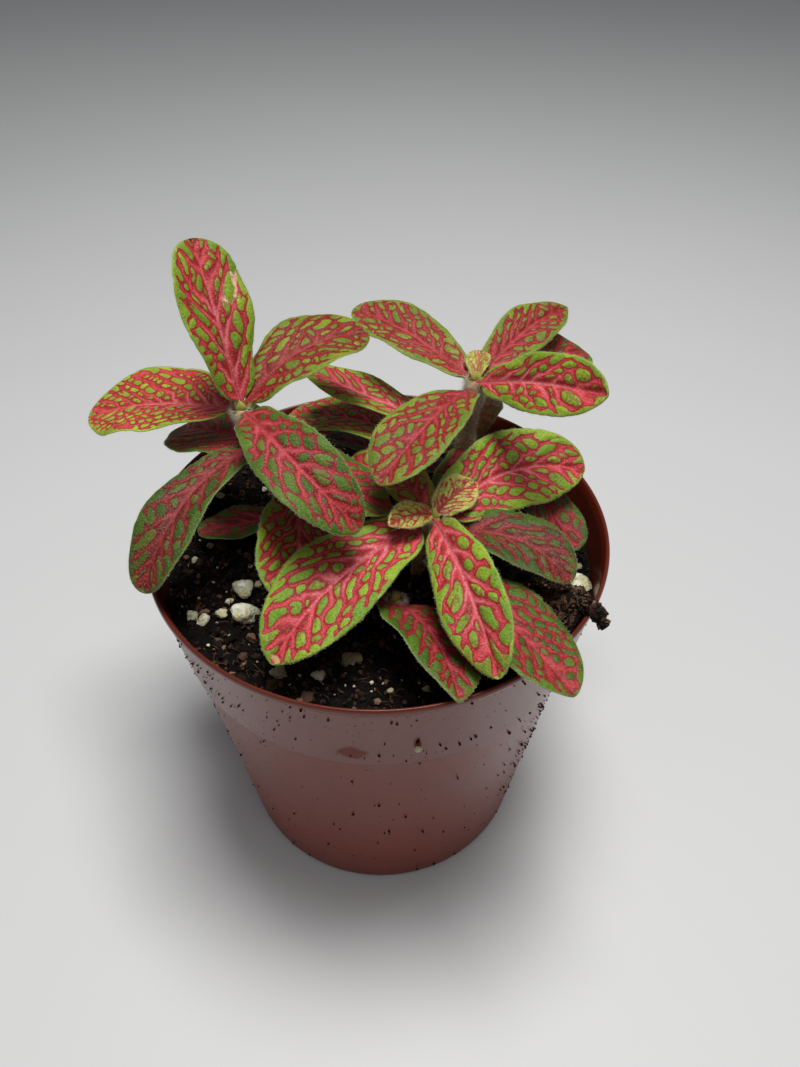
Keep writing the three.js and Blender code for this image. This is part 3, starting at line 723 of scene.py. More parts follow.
def make_pot():
    """A turned profile with rounded corners, closed by the drained floor and the centre pad."""
    low, high = FLOOR_GROOVE, FLOOR_GROOVE + POT_FLOOR
    wall = lathe(rounded(pot_profile()))
    shell = (wall.reshape(-1, 3), ring_faces(*wall.shape[:2]), NO_TRIANGLES)
    floor = drained_floor((low, PAD_RADIUS + 1.4, RING_INNER_RADIUS - 1.4),
                          (high, PAD_RADIUS + 0.7, RING_INNER_RADIUS - 0.7))
    under = pad([(PAD_RADIUS + 1.4, low), (PAD_RADIUS, 0), (PAD_CENTRE, 0)], -1)
    over = pad([(PAD_RADIUS + 0.7, high), (PAD_RADIUS - 0.7, POT_FLOOR), (PAD_CENTRE, POT_FLOOR)], 1)
    points, quads, tris = merged(*joined([shell, floor, under, over]))
    r, z = np.hypot(points[:, 0], points[:, 1]), points[:, 2]
    # How far each point lies on the inner wall, which the material darkens as painted shade.
    inside = {"inside": smooth(0.3, 0.8, wall_radius(z) - r) * (z < POT_HEIGHT - 0.4)}
    piece("pot_shell", points, quads, tris, pot_material(), "pot_plastic", inside, replaces=("pot",))


# ================================================================ the soil
def soil_height(x, y):
    """Height of the soil without its lumps: a shallow dish and a heap against the right front of the rim."""
    angle = math.radians(MOUND_ANGLE)
    away = np.hypot(x - MOUND_RADIUS * math.cos(angle), y - MOUND_RADIUS * math.sin(angle)) / MOUND_SPREAD
    return SOIL_LEVEL + SOIL_DISH * ((x * x + y * y) / 2000 - 0.5) + MOUND_HEIGHT * np.exp(-away * away)


def soil_lumps(x, y):
    """Clods and crumbs: noise at five sizes, its creases sharpened, in millimetres."""
    total = 0
    for k, (size, lift) in enumerate(LUMPS):
        n = noise2(x / size + 31 * k, y / size + 17 * k, 500 + k)
        total = total + lift * (0.7 - 1.8 * np.abs(n) ** 0.8)
    return total * 0.62


def soil_top(x, y):
    """Height of the soil with its lumps."""
    return soil_height(x, y) + soil_lumps(x, y)


def make_soil():
    """The filling of the pot: its sides follow the inside of the pot, and its top is a fine polar grid at
    soil_height plus soil_lumps, which fade out at the wall."""
    a = circle(SOIL_SEGMENTS)
    low, groove = POT_FLOOR + GAP, FLOOR_GROOVE + POT_FLOOR + GAP
    body_top = STEP_RADIUS - STEP_LEDGE
    sides = [
        (PAD_RADIUS - 1.1, low), (PAD_RADIUS + 0.4, groove), (RING_INNER_RADIUS - 0.4, groove),
        (RING_INNER_RADIUS + 1.1, 1.3 + GAP), (BASE_RADIUS - 2.3, 1.3 + GAP), (BASE_RADIUS - 1.7, 2.9),
        (body_top - WALL - GAP - 0.05, STEP_HEIGHT - 0.2), (STEP_RADIUS - WALL - GAP, STEP_HEIGHT + 1.4),
    ]
    rings = [ring(r, z, a) for r, z in sides]
    slope = (COLLAR_TOP_RADIUS - STEP_RADIUS) / (POT_HEIGHT - LIP_HEIGHT - STEP_HEIGHT)
    for share in np.concatenate([[1.0], np.linspace(0.995, 0.02, SOIL_RINGS)]):
        level = soil_height(50 * share * np.cos(a), 50 * share * np.sin(a))
        edge = STEP_RADIUS + slope * (level - STEP_HEIGHT) - WALL - GAP
        x, y = edge * share * np.cos(a), edge * share * np.sin(a)
        rings.append(np.stack([x, y, soil_height(x, y) + soil_lumps(x, y) * smooth(1.0, 0.97, share)], -1))
    points, quads, tris = closed_tube(np.array(rings), (0, 0, low), (0, 0, SOIL_LEVEL - 0.5))
    piece("soil_fill", points, quads, tris, soil_material(), "soil", replaces=("soil",))


def lump(radius, seed):
    """A small round stone: a ball whose radius is pushed in and out by noise over its own surface."""
    shift = np.random.default_rng(seed).uniform(0, 20, 3)
    p = ball(6, 9)
    size = 1 + 0.3 * noise3(p * 1.3 + shift, 71) + 0.135 * noise3(p * 3.1 + shift, 72)
    shaped = p * size[..., None] * radius * (1, 1, 0.85)
    return closed_tube(shaped[1:-1], shaped[0, 0], shaped[-1, 0])


def nugget(radius, seed, rows):
    """A perlite grain: a ball whose radius follows the largest of a few round knobs, each the exponential of
    its squared angle, with fine noise over them."""
    rng = np.random.default_rng(seed)
    knobs = unit(rng.normal(size=(7, 3)))
    weights = rng.uniform(0.3, 1, 7)
    p = ball(rows, int(rows * 1.4))
    swell = (weights * np.exp(-np.arccos(np.clip(p @ knobs.T, -1, 1)) ** 2 / 0.4)).max(-1)
    size = 0.66 + 0.46 * swell + 0.05 * noise3(p * 5 + seed, 74) + 0.03 * noise3(p * 11 + seed, 75)
    shaped = p * (size * radius)[..., None]
    return closed_tube(shaped[1:-1], shaped[0, 0], shaped[-1, 0])


def chips(places, sizes, seed):
    """Angular grains: each is two rings of five points and two poles on a ball, every point pushed in or out,
    the three axes stretched apart, and the whole turned by a random unit quaternion (w, v), which takes p to
    p + 2 v x (v x p + w p). Returns points, no quads, triangles and each point's tone of 0..1."""
    rng = np.random.default_rng(seed)
    count = len(places)
    a = circle(5)
    body = np.concatenate([[(0, 0, 1)], ring(0.89, 0.45, a), ring(0.89, -0.45, a + np.pi / 5), [(0, 0, -1)]])
    k = np.arange(5)
    n = (k + 1) % 5
    faces = np.concatenate([
        np.stack([0 * k, 1 + k, 1 + n], -1), np.stack([1 + k, 6 + k, 1 + n], -1),
        np.stack([1 + n, 6 + k, 6 + n], -1), np.stack([6 + k, 11 + 0 * k, 6 + n], -1),
    ])
    p = body * rng.uniform(0.65, 1.25, (count, 12, 1)) * rng.uniform(0.5, 1.35, (count, 1, 3))
    p = p * np.asarray(sizes)[:, None, None]
    q = unit(rng.normal(size=(count, 1, 4)))
    w, v = q[..., :1], q[..., 1:]
    p = p + 2 * np.cross(v, np.cross(v, p) + w * p) + np.asarray(places)[:, None]
    tris = (faces + 12 * np.arange(count)[:, None, None]).reshape(-1, 3)
    return p.reshape(-1, 3), NO_QUADS, tris, np.repeat(rng.uniform(0, 1, count), 12)


def turned(points, seed):
    """Points turned about a seeded axis."""
    rng = np.random.default_rng(seed)
    turn = Matrix.Rotation(rng.uniform(0, 6.28), 3, Vector(rng.normal(size=3)).normalized())
    return points @ np.array(turn).T


def wall_point(angle, z, out):
    """Points on the outside of the pot, or so far out from it; the angle is in radians."""
    return ring(wall_radius(z) + out, z, angle)


def wall_radius(z):
    """The outer radius of the pot at a height, straight between its corners."""
    lip = POT_HEIGHT - LIP_HEIGHT
    heights = (1.5, STEP_HEIGHT - 0.5, STEP_HEIGHT + 0.4, lip, lip + 0.7)
    radii = (BASE_RADIUS, STEP_RADIUS - STEP_LEDGE, STEP_RADIUS, COLLAR_TOP_RADIUS, RIM_RADIUS)
    return np.interp(z, heights, radii)


def make_stones():
    """The perlite stones, and white grains over the soil and one on the pot's wall."""
    parts, stains = [], []
    for k, (x, y, size, stain) in enumerate(PERLITE):
        points, quads, tris = nugget(size * 0.56, 40 + k, 34 if size > 2.5 else 14)
        z = soil_height(x, y) + size * (0.2 - 0.12 * max(stain, 0))
        flat = 0.85 - 0.35 * abs(stain)
        points = turned(points, 40 + k) * (1.6 - 0.65 * flat, 1, flat)
        parts.append((points + (x, y, z), quads, tris))
        right_end = smooth(0.15, 0.4, points[:, 0] / size)
        stains.append(0 * right_end + stain if stain >= 0 else -stain * right_end)
    rng = np.random.default_rng(21)
    r, a = 48 * np.sqrt(rng.uniform(0, 1, WHITE_GRAINS)), rng.uniform(0, 2 * np.pi, WHITE_GRAINS)
    x, y = r * np.cos(a), r * np.sin(a)
    sizes = rng.uniform(0.2, 0.5, WHITE_GRAINS)
    points, quads, tris, tone = chips(np.stack([x, y, soil_top(x, y) + 0.5 * sizes], -1), sizes, 22)
    parts.append((points, quads, tris))
    stains.append(0.5 * tone)
    angle, height, radius = WALL_GRAIN
    points, quads, tris = lump(radius, 77)
    parts.append((points + wall_point(math.radians(angle), height, 0.45), quads, tris))
    stains.append(np.zeros(len(points)))
    stain = {"stain": np.concatenate(stains)}
    piece("perlite", *joined(parts), perlite_material(), "soil", stain)


def make_specks():
    """Specks of soil that stick to the outside of the pot."""
    rng = np.random.default_rng(33)
    places, sizes = [], []
    for angle, angle_spread, height, height_spread, count in SPECKS:
        a = np.radians(angle + angle_spread * rng.normal(size=count))
        z = np.clip(height + height_spread * rng.normal(size=count), 3, POT_HEIGHT - LIP_HEIGHT - 1)
        size = 0.11 + 0.3 * rng.uniform(size=count) ** 2.2
        places.append(wall_point(a, z, 0.3 * size))
        sizes.append(size)
    for angle, height, size in WALL_SPECKS:
        places.append([wall_point(math.radians(angle), height, 0.2)])
        sizes.append([size])
    points, quads, tris, tone = chips(np.concatenate(places), np.concatenate(sizes), 34)
    piece("pot_specks", points, quads, tris, crumb_material(), "soil", {"tone": tone}, smooth_shade=False)


def strand_tube(path, radius, sides=5):
    """A thin tube round a path of points, its radius a sine that tapers to both ends."""
    way = unit(np.gradient(path, axis=0))
    first = unit(np.cross(way, (0.3, 0.2, 0.93)))
    second = np.cross(way, first)
    a = circle(sides)
    size = radius * np.sin(np.linspace(0.35, np.pi - 0.35, len(path)))[:, None, None]
    turn = first[:, None] * np.cos(a)[:, None] + second[:, None] * np.sin(a)[:, None]
    return closed_tube(path[:, None] + size * turn, path[0], path[-1])


def make_crumbs(rng, heap, crumb):
    """Loose grains over the whole surface, thickest on the heap, where they are finer."""
    r, a = 49.0 * np.sqrt(rng.uniform(0, 1, LOOSE_GRAINS)), rng.uniform(0, 2 * np.pi, LOOSE_GRAINS)
    heaped = 44.5 * heap + rng.normal(size=(HEAP_GRAINS, 2)) * HEAP_SPREAD
    heaped = heaped * np.minimum(1, 49.4 / np.hypot(*heaped.T))[:, None]
    flat = np.concatenate([np.stack([r * np.cos(a), r * np.sin(a)], -1), heaped])
    sizes = rng.uniform(0.18, 0.66, len(flat)) * (1 + 1.8 * rng.uniform(0, 1, len(flat)) ** 9)
    sizes[LOOSE_GRAINS:] *= 0.46
    z = soil_top(flat[:, 0], flat[:, 1]) + 0.2 * sizes
    points, quads, tris, tone = chips(np.column_stack([flat, z]), sizes, 9)
    piece("soil_crumbs", points, quads, tris, crumb, "soil", {"tone": tone}, smooth_shade=False)


def make_fibres(rng, heap):
    """Curled fibres lying over the surface, a third of them on the heap."""
    parts = []
    for k in range(FIBRES):
        r, a = 47 * math.sqrt(rng.uniform(0, 1)), rng.uniform(0, 2 * np.pi)
        start = np.array((r * math.cos(a), r * math.sin(a)))
        if k % 3 == 0:
            start = 45 * heap + rng.normal(size=2) * 3.5
        turn = rng.uniform(0, 2 * np.pi) + np.cumsum(rng.normal(0, 0.14, FIBRE_POINTS))
        flat = start + np.cumsum(np.stack([np.cos(turn), np.sin(turn)], -1), 0) * rng.uniform(0.1, 0.42)
        z = soil_top(flat[:, 0], flat[:, 1]) * 0.6 + 0.4 * soil_height(flat[:, 0], flat[:, 1])
        arch = rng.uniform(0, 0.5) * np.sin(np.linspace(0, np.pi, FIBRE_POINTS))
        path = np.column_stack([flat, z + 0.35 + arch])
        if np.hypot(*flat.T).max() < 48.5:
            parts.append(strand_tube(path, rng.uniform(0.05, 0.12)))
    piece("soil_fibres", *joined(parts), fibre_material(), "soil")


def make_clod(rng, crumb):
    """The clod that lies over the rim at the heap: a tube through its places and radii, pushed in and out by
    noise, with grains stuck all over it."""
    line = np.array(SPILL)
    share = np.linspace(0, len(SPILL) - 1, 60)
    path = np.stack([np.interp(share, np.arange(len(SPILL)), line[:, i]) for i in range(4)], -1)
    middle = path[:, :3]
    a = circle(48)
    way = unit(np.gradient(middle, axis=0))
    level = unit(np.cross(way, (0, 0, 1.0)))
    over = np.cross(level, way)
    turn = level[:, None] * np.cos(a)[:, None] + over[:, None] * np.sin(a)[:, None]
    rings = middle[:, None] + path[:, None, 3:] * turn
    bumps = noise3(rings / 1.3, 91) * 0.7 + noise3(rings / 0.6, 92) * 0.45
    rings = rings + bumps[..., None] * unit(rings - middle[:, None])
    core = closed_tube(rings, middle[0], middle[-1] + 0.5 * way[-1])
    skin = rings.reshape(-1, 3)
    places = skin[rng.integers(0, len(skin), CLOD_GRAINS)]
    grains = chips(places, 0.14 + 0.6 * rng.uniform(0, 1, CLOD_GRAINS) ** 3, 10)
    tone = {"tone": np.concatenate([np.full(len(core[0]), 0.3), grains[3]])}
    piece("spilled_clod", *joined([core, grains[:3]]), crumb, "soil", tone, smooth_shade=False)


def make_litter():
    """What lies loose on the soil: grains, fibres, and the clod over the rim."""
    rng = np.random.default_rng(8)
    angle = math.radians(MOUND_ANGLE)
    heap = np.array((math.cos(angle), math.sin(angle)))
    crumb = crumb_material()
    make_crumbs(rng, heap, crumb)
    make_fibres(rng, heap)
    make_clod(rng, crumb)


# ================================================================ stems
def stem_point(shoot, z):
    """The point of a stem's line at a height: straight from foot to crown, plus bow times 4 v (1 - v)."""
    foot, crown, bow = (np.array(shoot[k], float) for k in ("foot", "crown", "bow"))
    v = (np.asarray(z, float)[..., None] - foot[2]) / (crown[2] - foot[2])
    return foot + (crown - foot) * v + bow * 4 * v * (1 - v)


def stem_radius(shoot, z):
    """The stem's radius at a height, swollen by a bell curve at each leaf's node."""
    swell = np.max([np.exp(-(((z - leaf[0]) / NODE_LENGTH) ** 2)) for leaf in shoot["leaves"]], axis=0)
    return STEM_RADIUS * (1 + NODE_SWELL * swell)


def tip_bud(place, seed):
    """The youngest pair of leaves, still folded to a point: rings of radius sin(pi v^0.75)^0.85 pressed flat
    on one axis, with a seam between the two."""
    v = np.linspace(0.05, 0.95, 16)[:, None]
    a = circle(24)
    r = np.sin(np.pi * v ** 0.75) ** 0.85 * (1 - 0.16 * np.exp(-(np.cos(a) / 0.22) ** 2))
    turn = 2.3 * seed
    x, y = BUD_SIZE[0] * r * np.cos(a), BUD_SIZE[1] * r * np.sin(a)
    flat = np.stack([x * math.cos(turn) - y * math.sin(turn), x * math.sin(turn) + y * math.cos(turn)], -1)
    rings = np.concatenate([flat, (BUD_SIZE[2] * v + 0 * a)[..., None]], -1) + place
    return closed_tube(rings, place, place + (0, 0, BUD_SIZE[2]))


def make_stem(name, shoot, material):
    """A tube of level rings round the stem's line, swollen at each leaf node, ribbed by noise, closed at both
    ends, with a bud at its top."""
    low, high = SOIL_LEVEL - STEM_DEPTH, shoot["crown"][2] + 0.2
    z = np.arange(low, high + 0.2, STEM_STEP)
    a = circle(STEM_SEGMENTS)
    middle = stem_point(shoot, z)
    r = stem_radius(shoot, z)[:, None] * (1 + 0.05 * noise2(z[:, None] / 2.5, 3 * np.cos(a) + 9, 5))
    taper = np.sqrt(np.clip((high + 0.6 - z) / 2.6, 0.1, 1))[:, None]
    rings = ring(r * taper, z[:, None], a)
    rings[..., :2] += middle[:, None, :2]
    stem = closed_tube(rings, middle[0], middle[-1] + (0, 0, 0.4))
    bud = tip_bud(middle[-1] - (0, 0, 0.8), len(name))
    fields = {"crown": np.concatenate([np.zeros(len(stem[0])), np.ones(len(bud[0]))])}
    piece(name.replace("leafy_", "") + "_core", *joined([stem, bud]), material, "foliage", fields, (name,))


# ================================================================ leaves
def half_width(s, width, belly=BELLY, blunt=BLUNT):
    """Half the blade's width at share s of its length: a power towards the stem, which is lower near it, and
    one towards the tip."""
    t = np.clip((s - PETIOLE_SHARE) / (1 - PETIOLE_SHARE), 0, 1)
    widest = belly / (belly + blunt)
    most = widest ** belly * (1 - widest) ** blunt
    rise = belly * (0.72 + 0.28 * smooth(0, 0.3, t))
    stalk = np.where(s < 0.5, PETIOLE_HALF_WIDTH, 0)
    return np.maximum(width / 2 * t ** rise * (1 - t) ** blunt / most, stalk)


def soft_largest(a, b, soft):
    """The larger of two distances, with the crease between them rounded off."""
    return soft * np.log(np.exp(np.clip(a, -5, 5) / soft) + np.exp(np.clip(b, -5, 5) / soft))


def half_net(rng, strand, across_blade, share, lateral, edge, length, width, net):
    """The green fields of one half of a blade: signed distance to their edges, each field's random number and
    the distance to the nearest side vein's middle."""
    pitch, band, cut = net
    strips = int((length + 1.9 * width) / pitch) + 4
    lines = -1.8 * width + np.cumsum(pitch * rng.uniform(0.7, 1.3, strips))
    k = np.clip(np.searchsorted(lines, strand), 1, strips - 1)
    low, high = lines[k - 1], lines[k]
    across = strand - (low + high) / 2
    slope = VEIN_LEAN + 2 * VEIN_BEND * across_blade
    sine = 1 / np.sqrt(1 + slope ** 2)
    lean = rng.uniform(-0.3, 0.3, strips)[k]
    out = across_blade / sine + across * (0.8 * slope * sine + lean)

    steps = cut * rng.choice(CUT_STEPS, (strips, 9), p=CUT_CHANCES) * rng.uniform(0.85, 1.15, (strips, 9))
    ends = np.cumsum(steps, 1) - cut * rng.uniform(0.0, 0.9, (strips, 1))
    cuts = np.concatenate([np.full((strips, 1), -9.0), ends], 1)
    gap = band * rng.uniform(0.35, 1.0, (strips, 10))
    j = np.clip((out[:, None] > cuts[k]).sum(1) - 1, 0, 8)
    tall = (cuts[k, j + 1] - cuts[k, j]) / 2 - (gap[k, j] + gap[k, j + 1]) / 4
    tall = np.maximum(tall, 0.3)
    v = (out - (cuts[k, j] + cuts[k, j + 1]) / 2) / tall
    weight = rng.uniform(0.75, 1.25, strips)
    body = band / 2 * (0.62 + 0.75 * np.exp(-lateral / 2.8)) * (0.45 + 0.55 * smooth(0.4, 3.0, edge))
    body = body + band * 0.5 * smooth(0.34, 0.1, share)
    wide = np.maximum((high - low) * sine / 2 - body * (weight[k - 1] + weight[k]) / 2, 0.15)
    aside = across * sine - body * (weight[k - 1] - weight[k]) / 2
    u = aside / (wide * rng.uniform(0.86, 1.12, (strips, 10))[k, j])
    from_middle = (np.abs(u) ** FIELD_POWER + np.abs(v) ** FIELD_POWER) ** (1 / FIELD_POWER)
    field = (1 - from_middle) * np.minimum(wide, tall)

    notched = rng.uniform(0, 1, (strips, 10))[k, j] < NOTCHED
    tilt = rng.uniform(-0.35, 0.35, (strips, 10))[k, j]
    notch = np.abs(across * sine - tilt * v * tall) - 0.2 * smooth(-0.3, 0.9, v) + 0.5 * smooth(0.1, -0.6, v)
    field = np.where(notched, np.minimum(field, notch), field)
    between = np.clip(1 - 1.2 * (2 * across / (high - low)) ** 2, 0, 1)
    border = 0.5 + 0.3 * rng.uniform(0, 1, strips)[k] + rng.choice(BORDER_DEPTHS, strips)[k] * between
    border = border * (0.55 + 0.45 * smooth(0.03, 0.2, share))
    field = soft_largest(field, border - edge, 0.12)
    cell = rng.uniform(0, 1, (strips, 10))[k, j]
    return field, cell, np.minimum(strand - low, high - strand) * sine


def vein_net(x, y, half, length, width, seed, net):
    """Signed distance in millimetres to the edge of the vein net, above 0 on the green between veins.

    In each half of the blade the side veins leave the midrib and bend to the tip, so along one of them
    x - 1.35|y| - 0.035 y^2 keeps its value. The strip between two side veins is cut across at uneven steps,
    and in each compartment lies a green field, the inside of |u|^2.7 + |v|^2.7 = 1; some fields are notched
    by a short vein from outside. Along the margin runs a green border that is deeper between two side veins,
    so that the veins end in it as teeth. Noise bends the whole net. Returns also each field's random number,
    the distance to the margin and the distance to the nearest vein's middle."""
    rng = np.random.default_rng(seed)
    s = x / length
    lateral = np.abs(y)
    edge = half - lateral
    bent_x = x + 0.9 * noise2(x / 4.2, y / 4.2, seed + 1) + 0.35 * noise2(x / 1.7, y / 1.7, seed + 2)
    bend = 0.7 * noise2(x / 3.8 + 9, y / 3.8 + 5, seed + 4) + 0.3 * noise2(x / 1.6 + 4, y / 1.6, seed + 5)
    bent_y = np.maximum(lateral + bend, 0)
    strand = bent_x - (VEIN_LEAN * bent_y + VEIN_BEND * bent_y ** 2)
    fields, cell, core = np.zeros((3,) + x.shape)
    for mine in (y >= 0, y < 0):
        here = (values[mine] for values in (strand, bent_y, s, lateral, edge))
        fields[mine], cell[mine], core[mine] = half_net(rng, *here, length, width, net)
    rib = (0.28 + 0.85 * np.clip(1 - s, 0, 1) ** 1.2) * net[1] * smooth(0.3, 3, (1 - s) * length)
    middle = lateral + 0.15 * noise2(x / 1.2, y, seed + 7) - rib
    vein = -soft_largest(-fields, -middle, 0.25)
    vein = np.where(edge < 0.5, np.maximum(vein, 0.3 * (0.75 - edge)), vein)
    return vein, cell, edge, np.minimum(core, lateral)


def draw(seed):
    """A number of 0..1 that belongs to the seed; the solids wave their leaves by the same one."""
    x = math.sin(seed * 127.1 + 311.7) * 43758.5453
    return x - math.floor(x)


def scar_fields(x, y, seed, scars):
    """Where a blade is pale from a healed scar, and where it is bare: ovals with an edge bent by noise."""
    pale, bare = 0 * x, 0 * x
    for _, _, place, aside, long, wide, lean, patch in scars:
        turn = math.radians(lean)
        u = ((x - place) * math.cos(turn) + (y - aside) * math.sin(turn)) / long
        v = ((y - aside) * math.cos(turn) - (x - place) * math.sin(turn)) / wide
        inner = smooth(1.25, 0.85, np.hypot(u, v) + 0.25 * noise2(x / 0.7, y / 0.7, seed + 21))
        pale, bare = np.maximum(pale, inner * (1 - patch)), np.maximum(bare, inner * patch)
    return pale, bare


def leaf_line(shoot, leaf, s):
    """The midrib of a leaf at shares s of its length, its direction there, the level way across it, and its
    tip. It leaves the stem's middle and bends evenly in pitch, and in heading with the square of s."""
    z, heading, rise, droop, turn, length = leaf[:6]
    fine = np.linspace(0, 1, RIB_STEPS + 1)
    middle = (fine[1:] + fine[:-1]) / 2

    def direction(at):
        h = np.radians(heading + turn * at * at)
        p = np.radians(rise + (droop - rise) * at)
        return np.stack([np.cos(h) * np.cos(p), np.sin(h) * np.cos(p), np.sin(p)], -1)

    path = np.concatenate([np.zeros((1, 3)), np.cumsum(direction(middle) * length / RIB_STEPS, 0)])
    path = path + stem_point(shoot, z)
    rib = np.stack([np.interp(s, fine, path[:, i]) for i in range(3)], -1)
    h = np.radians(heading + turn * s * s)
    return rib, direction(s), np.stack([-np.sin(h), np.cos(h), 0 * h], -1), path[-1]


def leaf_shape(shoot, leaf, seed, scars):
    """A blade as one closed skin. Each half rises by CUP from the midrib; the margin waves, the blade folds
    along its side veins, the green fields swell on the upper face and the veins stand out below. Returns
    points, faces, the fields that colour it, its two margins, and the ways across it and out of it."""
    length, width, roll, look = leaf[5:9]
    small = length < SMALL_LEAF
    rows, columns = SMALL_GRID if small else LEAF_GRID
    s = (1 - (1 - np.arange(rows + 1) / rows) ** 1.5)[:-1]
    rib, along, level, tip = leaf_line(shoot, leaf, s)
    up = np.cross(along, level)
    side = level * math.cos(math.radians(roll)) + up * math.sin(math.radians(roll))
    normal = np.cross(along, side)
    half = half_width(s, width, *leaf[9:])
    s, half = s[:, None], half[:, None]

    t = np.linspace(-1, 1, columns + 1)
    margin = 4.0 * np.sign(t) + 9
    ripple = RIPPLES[0] * noise2(s * 7 + 3, margin, seed + 11)
    ripple = ripple + RIPPLES[1] * noise2(s * 34, margin, seed + 12)
    reach = half * t * (1 + ripple * t ** 2)
    phase = 2 * np.pi * draw(seed)
    wave = WAVE * np.sin(WAVE_TURN * s + phase + t) * t * t * np.minimum(1, half / 5)
    x = s * length + 0 * t
    y = half * t
    size = SMALL_NET if small else 1.0
    measures = (value / size for value in (x, y, half, length, width))
    vein, cell, edge, core = vein_net(*measures, seed, LEAF_NETS[look])
    vein, edge, core = vein * size, edge * size, core * size
    blade = smooth(0.06, 0.3, s)
    fold = FOLD * (smooth(0, 1.6, core) - 0.5) * smooth(0.3, 2.5, edge) * blade
    lift = half * math.sin(CUP) * np.abs(t) + wave + fold
    lift = lift + 0.12 * noise2(x / 4, y / 4 + 40, seed + 5) * blade
    groove = np.exp(-((y / 0.9) ** 2)) * blade
    inside = smooth(0.1, 1.8, edge) * blade
    swell = (FIELD_SWELL * smooth(-0.5, 0.9, vein) - MIDRIB_GROOVE * groove) * inside
    ridge = (VEIN_RIDGE * smooth(0.3, -0.5, vein) + MIDRIB_RIDGE * groove * (1 - s)) * inside

    body = (SMALL_THICKNESS if small else BLADE_THICKNESS) / 2
    thick = body + np.maximum(0, 1 - s / 0.12) * (PETIOLE_THICKNESS / 2 - body)
    round_edge = np.sqrt(np.clip(1 - np.abs(t) ** (2 + 6 * smooth(0.05, 0.2, s)), 0, 1))
    centre = rib[:, None] + side[:, None] * (reach * math.cos(CUP))[..., None]
    over = centre + normal[:, None] * (lift + thick * round_edge + swell)[..., None]
    below = centre + normal[:, None] * (lift - thick * round_edge - ridge)[..., None]
    rings = np.concatenate([over, below[:, -2:0:-1]], 1)
    points, quads, tris = closed_tube(rings, rib[0], tip)

    def around(upper, first, last, lower=None):
        """A field over both faces, with its values at the two ends."""
        lower = upper if lower is None else lower
        return np.concatenate([np.concatenate([upper, lower[:, -2:0:-1]], 1).ravel(), [first, last]])

    pale, bare = scar_fields(x, y, seed, scars)
    fields = {
        "vein": around(vein, -1, 1), "cell": around(cell, 0.5, 0.5), "core": around(core, 0, 0),
        "edge": around(edge, 1, 0), "lateral": around(np.abs(y), 0, 0), "along": around(s + 0 * x, 0, 1),
        "under": around(0 * x, 0, 0, 1 + 0 * x), "scar": around(pale, 0, 0), "bare": around(bare, 0, 0),
    }
    margins = (centre[:, 0] + normal * lift[:, :1], centre[:, -1] + normal * lift[:, -1:])
    return points, quads, tris, fields, margins, side, normal


def hairs(roots, way, seed, length, spread, radius):
    """Fine pale hairs: three-sided cones on the given roots, leaning about their way out."""
    rng = np.random.default_rng(seed)
    count = len(roots)
    lean = unit(way + spread * rng.normal(size=(count, 3)))
    first = unit(np.cross(lean, rng.normal(size=(count, 3))))
    second = np.cross(lean, first)
    reach = length * rng.uniform(0.5, 1.3, (count, 1))
    corners = [roots - 0.08 * lean + radius * (math.cos(a) * first + math.sin(a) * second) for a in circle(3)]
    points = np.stack(corners + [roots + reach * lean], 1).reshape(-1, 3)
    shape = np.array([(0, 1, 3), (1, 2, 3), (2, 0, 3), (0, 2, 1)])
    return points, NO_QUADS, (shape + 4 * np.arange(count)[:, None, None]).reshape(-1, 3)


def margin_hairs(margins, side, normal, length, seed):
    """Short hairs along both margins of a blade, at seeded places."""
    rng = np.random.default_rng(seed)
    roots, ways = [], []
    for sign, line in zip((-1, 1), margins):
        at = rng.uniform(0.02 * len(line), len(line) - 1.01, int(MARGIN_HAIRS[0] * length))
        low = at.astype(int)
        part = (at - low)[:, None]
        roots.append(line[low] * (1 - part) + line[low + 1] * part)
        ways.append(sign * side[low] + 0.3 * normal[low])
    return hairs(np.concatenate(roots), np.concatenate(ways), seed, *MARGIN_HAIRS[1:])


def stem_hairs(shoot, seed):
    """Longer hairs all round the stem above the soil, thickest at the crown, with a tuft just under it."""
    rng = np.random.default_rng(seed)
    low, high = SOIL_LEVEL + 1, shoot["crown"][2] + 0.6
    share = rng.uniform(0, 1, int(STEM_HAIRS[0] * (high - low))) ** 0.6
    z = np.concatenate([low + (high - low) * share, rng.uniform(high - TUFT_HEIGHT, high, TUFT_HAIRS)])
    out = ring(1, 0.15, rng.uniform(0, 2 * np.pi, len(z)))
    roots = stem_point(shoot, z) + out * stem_radius(shoot, z)[:, None] * (1, 1, 0)
    return hairs(roots, out, seed, *STEM_HAIRS[1:])


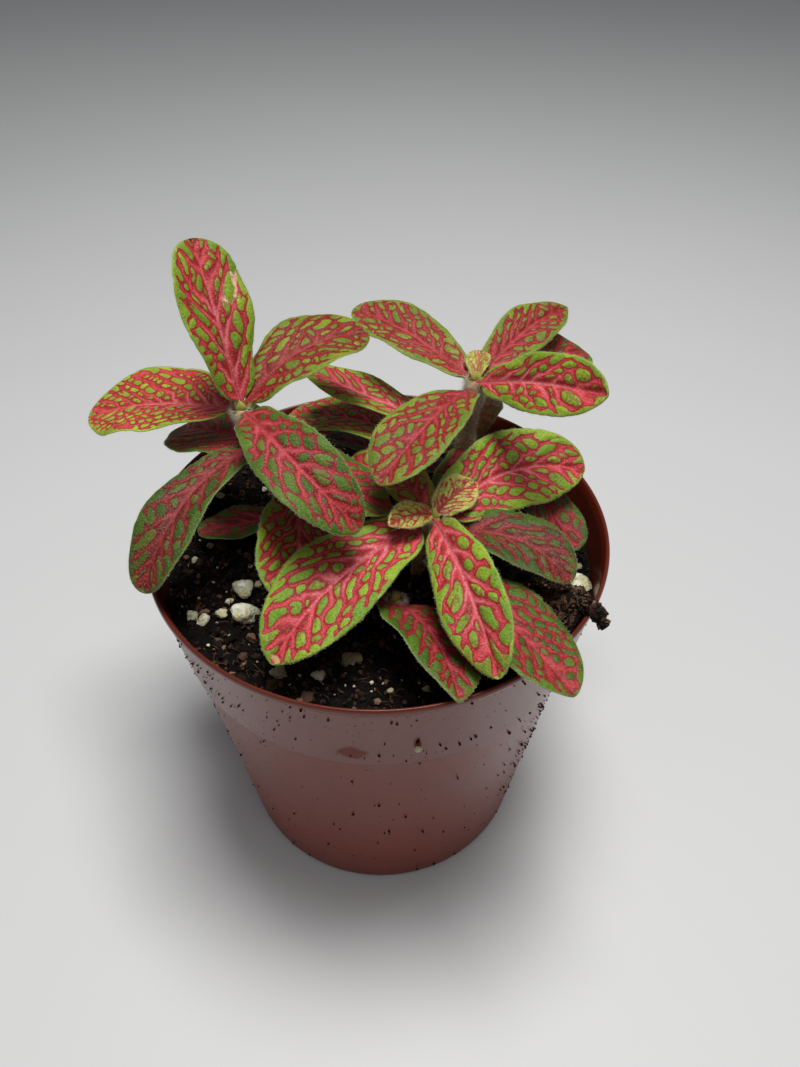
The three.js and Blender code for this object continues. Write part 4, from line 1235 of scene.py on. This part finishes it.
def make_shoots():
    """Each stem with its leaves, and its hairs with those of its leaves as one piece."""
    looks = {look: leaf_material(look) for look in LEAF_LOOKS}
    skin, down = stem_material(), hair_material()
    for index, (name, shoot) in enumerate(SHOOTS.items()):
        make_stem(name, shoot, skin)
        tufts = [stem_hairs(shoot, 70 + index)]
        for k, leaf in enumerate(shoot["leaves"]):
            seed = 31 * index + k + 1
            scars = [scar for scar in SCARS if scar[:2] == (name, k)]
            points, quads, tris, fields, *sides = leaf_shape(shoot, leaf, seed, scars)
            label = name.replace("leafy_stem", "leaf") + "_" + str(k + 1)
            piece(label, points, quads, tris, looks[leaf[8]], "foliage", fields, replaces=(name,))
            tufts.append(margin_hairs(*sides, leaf[5], seed))
        piece(name.replace("leafy_stem", "hairs"), *joined(tufts), down, "foliage")


# ================================================================ floor, light and camera
def make_stage():
    """A plain level floor that the pot stands on."""
    mesh = bpy.data.meshes.new("floor")
    far = FLOOR_REACH
    mesh.from_pydata([(-far, -far, 0), (far, -far, 0), (far, far, 0), (-far, far, 0)], [], [(0, 1, 2, 3)])
    mesh.materials.append(floor_material())
    floor = bpy.data.objects.new("floor", mesh)
    bpy.context.scene.collection.objects.link(floor)


def add_light(name, place, size, power, tint):
    """A square lamp at a place, turned to TARGET."""
    light = bpy.data.lights.new(name, "AREA")
    light.size = size
    light.energy = power
    light.color = tint
    lamp = bpy.data.objects.new(name, light)
    lamp.location = place
    lamp.rotation_euler = (Vector(TARGET) - Vector(place)).to_track_quat("-Z", "Y").to_euler()
    bpy.context.scene.collection.objects.link(lamp)


def make_light_and_camera():
    """The lamps, a faint even sky, and the camera that looks down at CAMERA_DOWN degrees."""
    scene = bpy.context.scene
    for light in LIGHTS:
        add_light(*light)
    world = bpy.data.worlds.new("world")
    world.use_nodes = True
    sky = world.node_tree.nodes["Background"]
    sky.inputs["Color"].default_value = SKY_COLOUR
    sky.inputs["Strength"].default_value = SKY_STRENGTH
    scene.world = world
    scene.view_settings.view_transform = "Standard"

    down, roll = math.radians(CAMERA_DOWN), math.radians(CAMERA_ROLL)
    forward = np.array([0, math.cos(down), -math.sin(down)])
    right = np.array([1.0, 0, 0])
    up = np.cross(right, forward)
    right, up = right * math.cos(roll) + up * math.sin(roll), up * math.cos(roll) - right * math.sin(roll)
    data = bpy.data.cameras.new("camera")
    data.sensor_width = SENSOR
    data.lens = FOCAL_PIXELS * SENSOR / FRAME_HEIGHT
    camera = bpy.data.objects.new("camera", data)
    axes = np.stack([right, up, -forward], -1)
    camera.matrix_world = Matrix.Translation(Vector(CAMERA_PLACE) * MM) @ Matrix(axes.tolist()).to_4x4()
    scene.collection.objects.link(camera)
    scene.camera = camera


make_pot()
make_soil()
make_stones()
make_specks()
make_litter()
make_shoots()
make_stage()
make_light_and_camera()
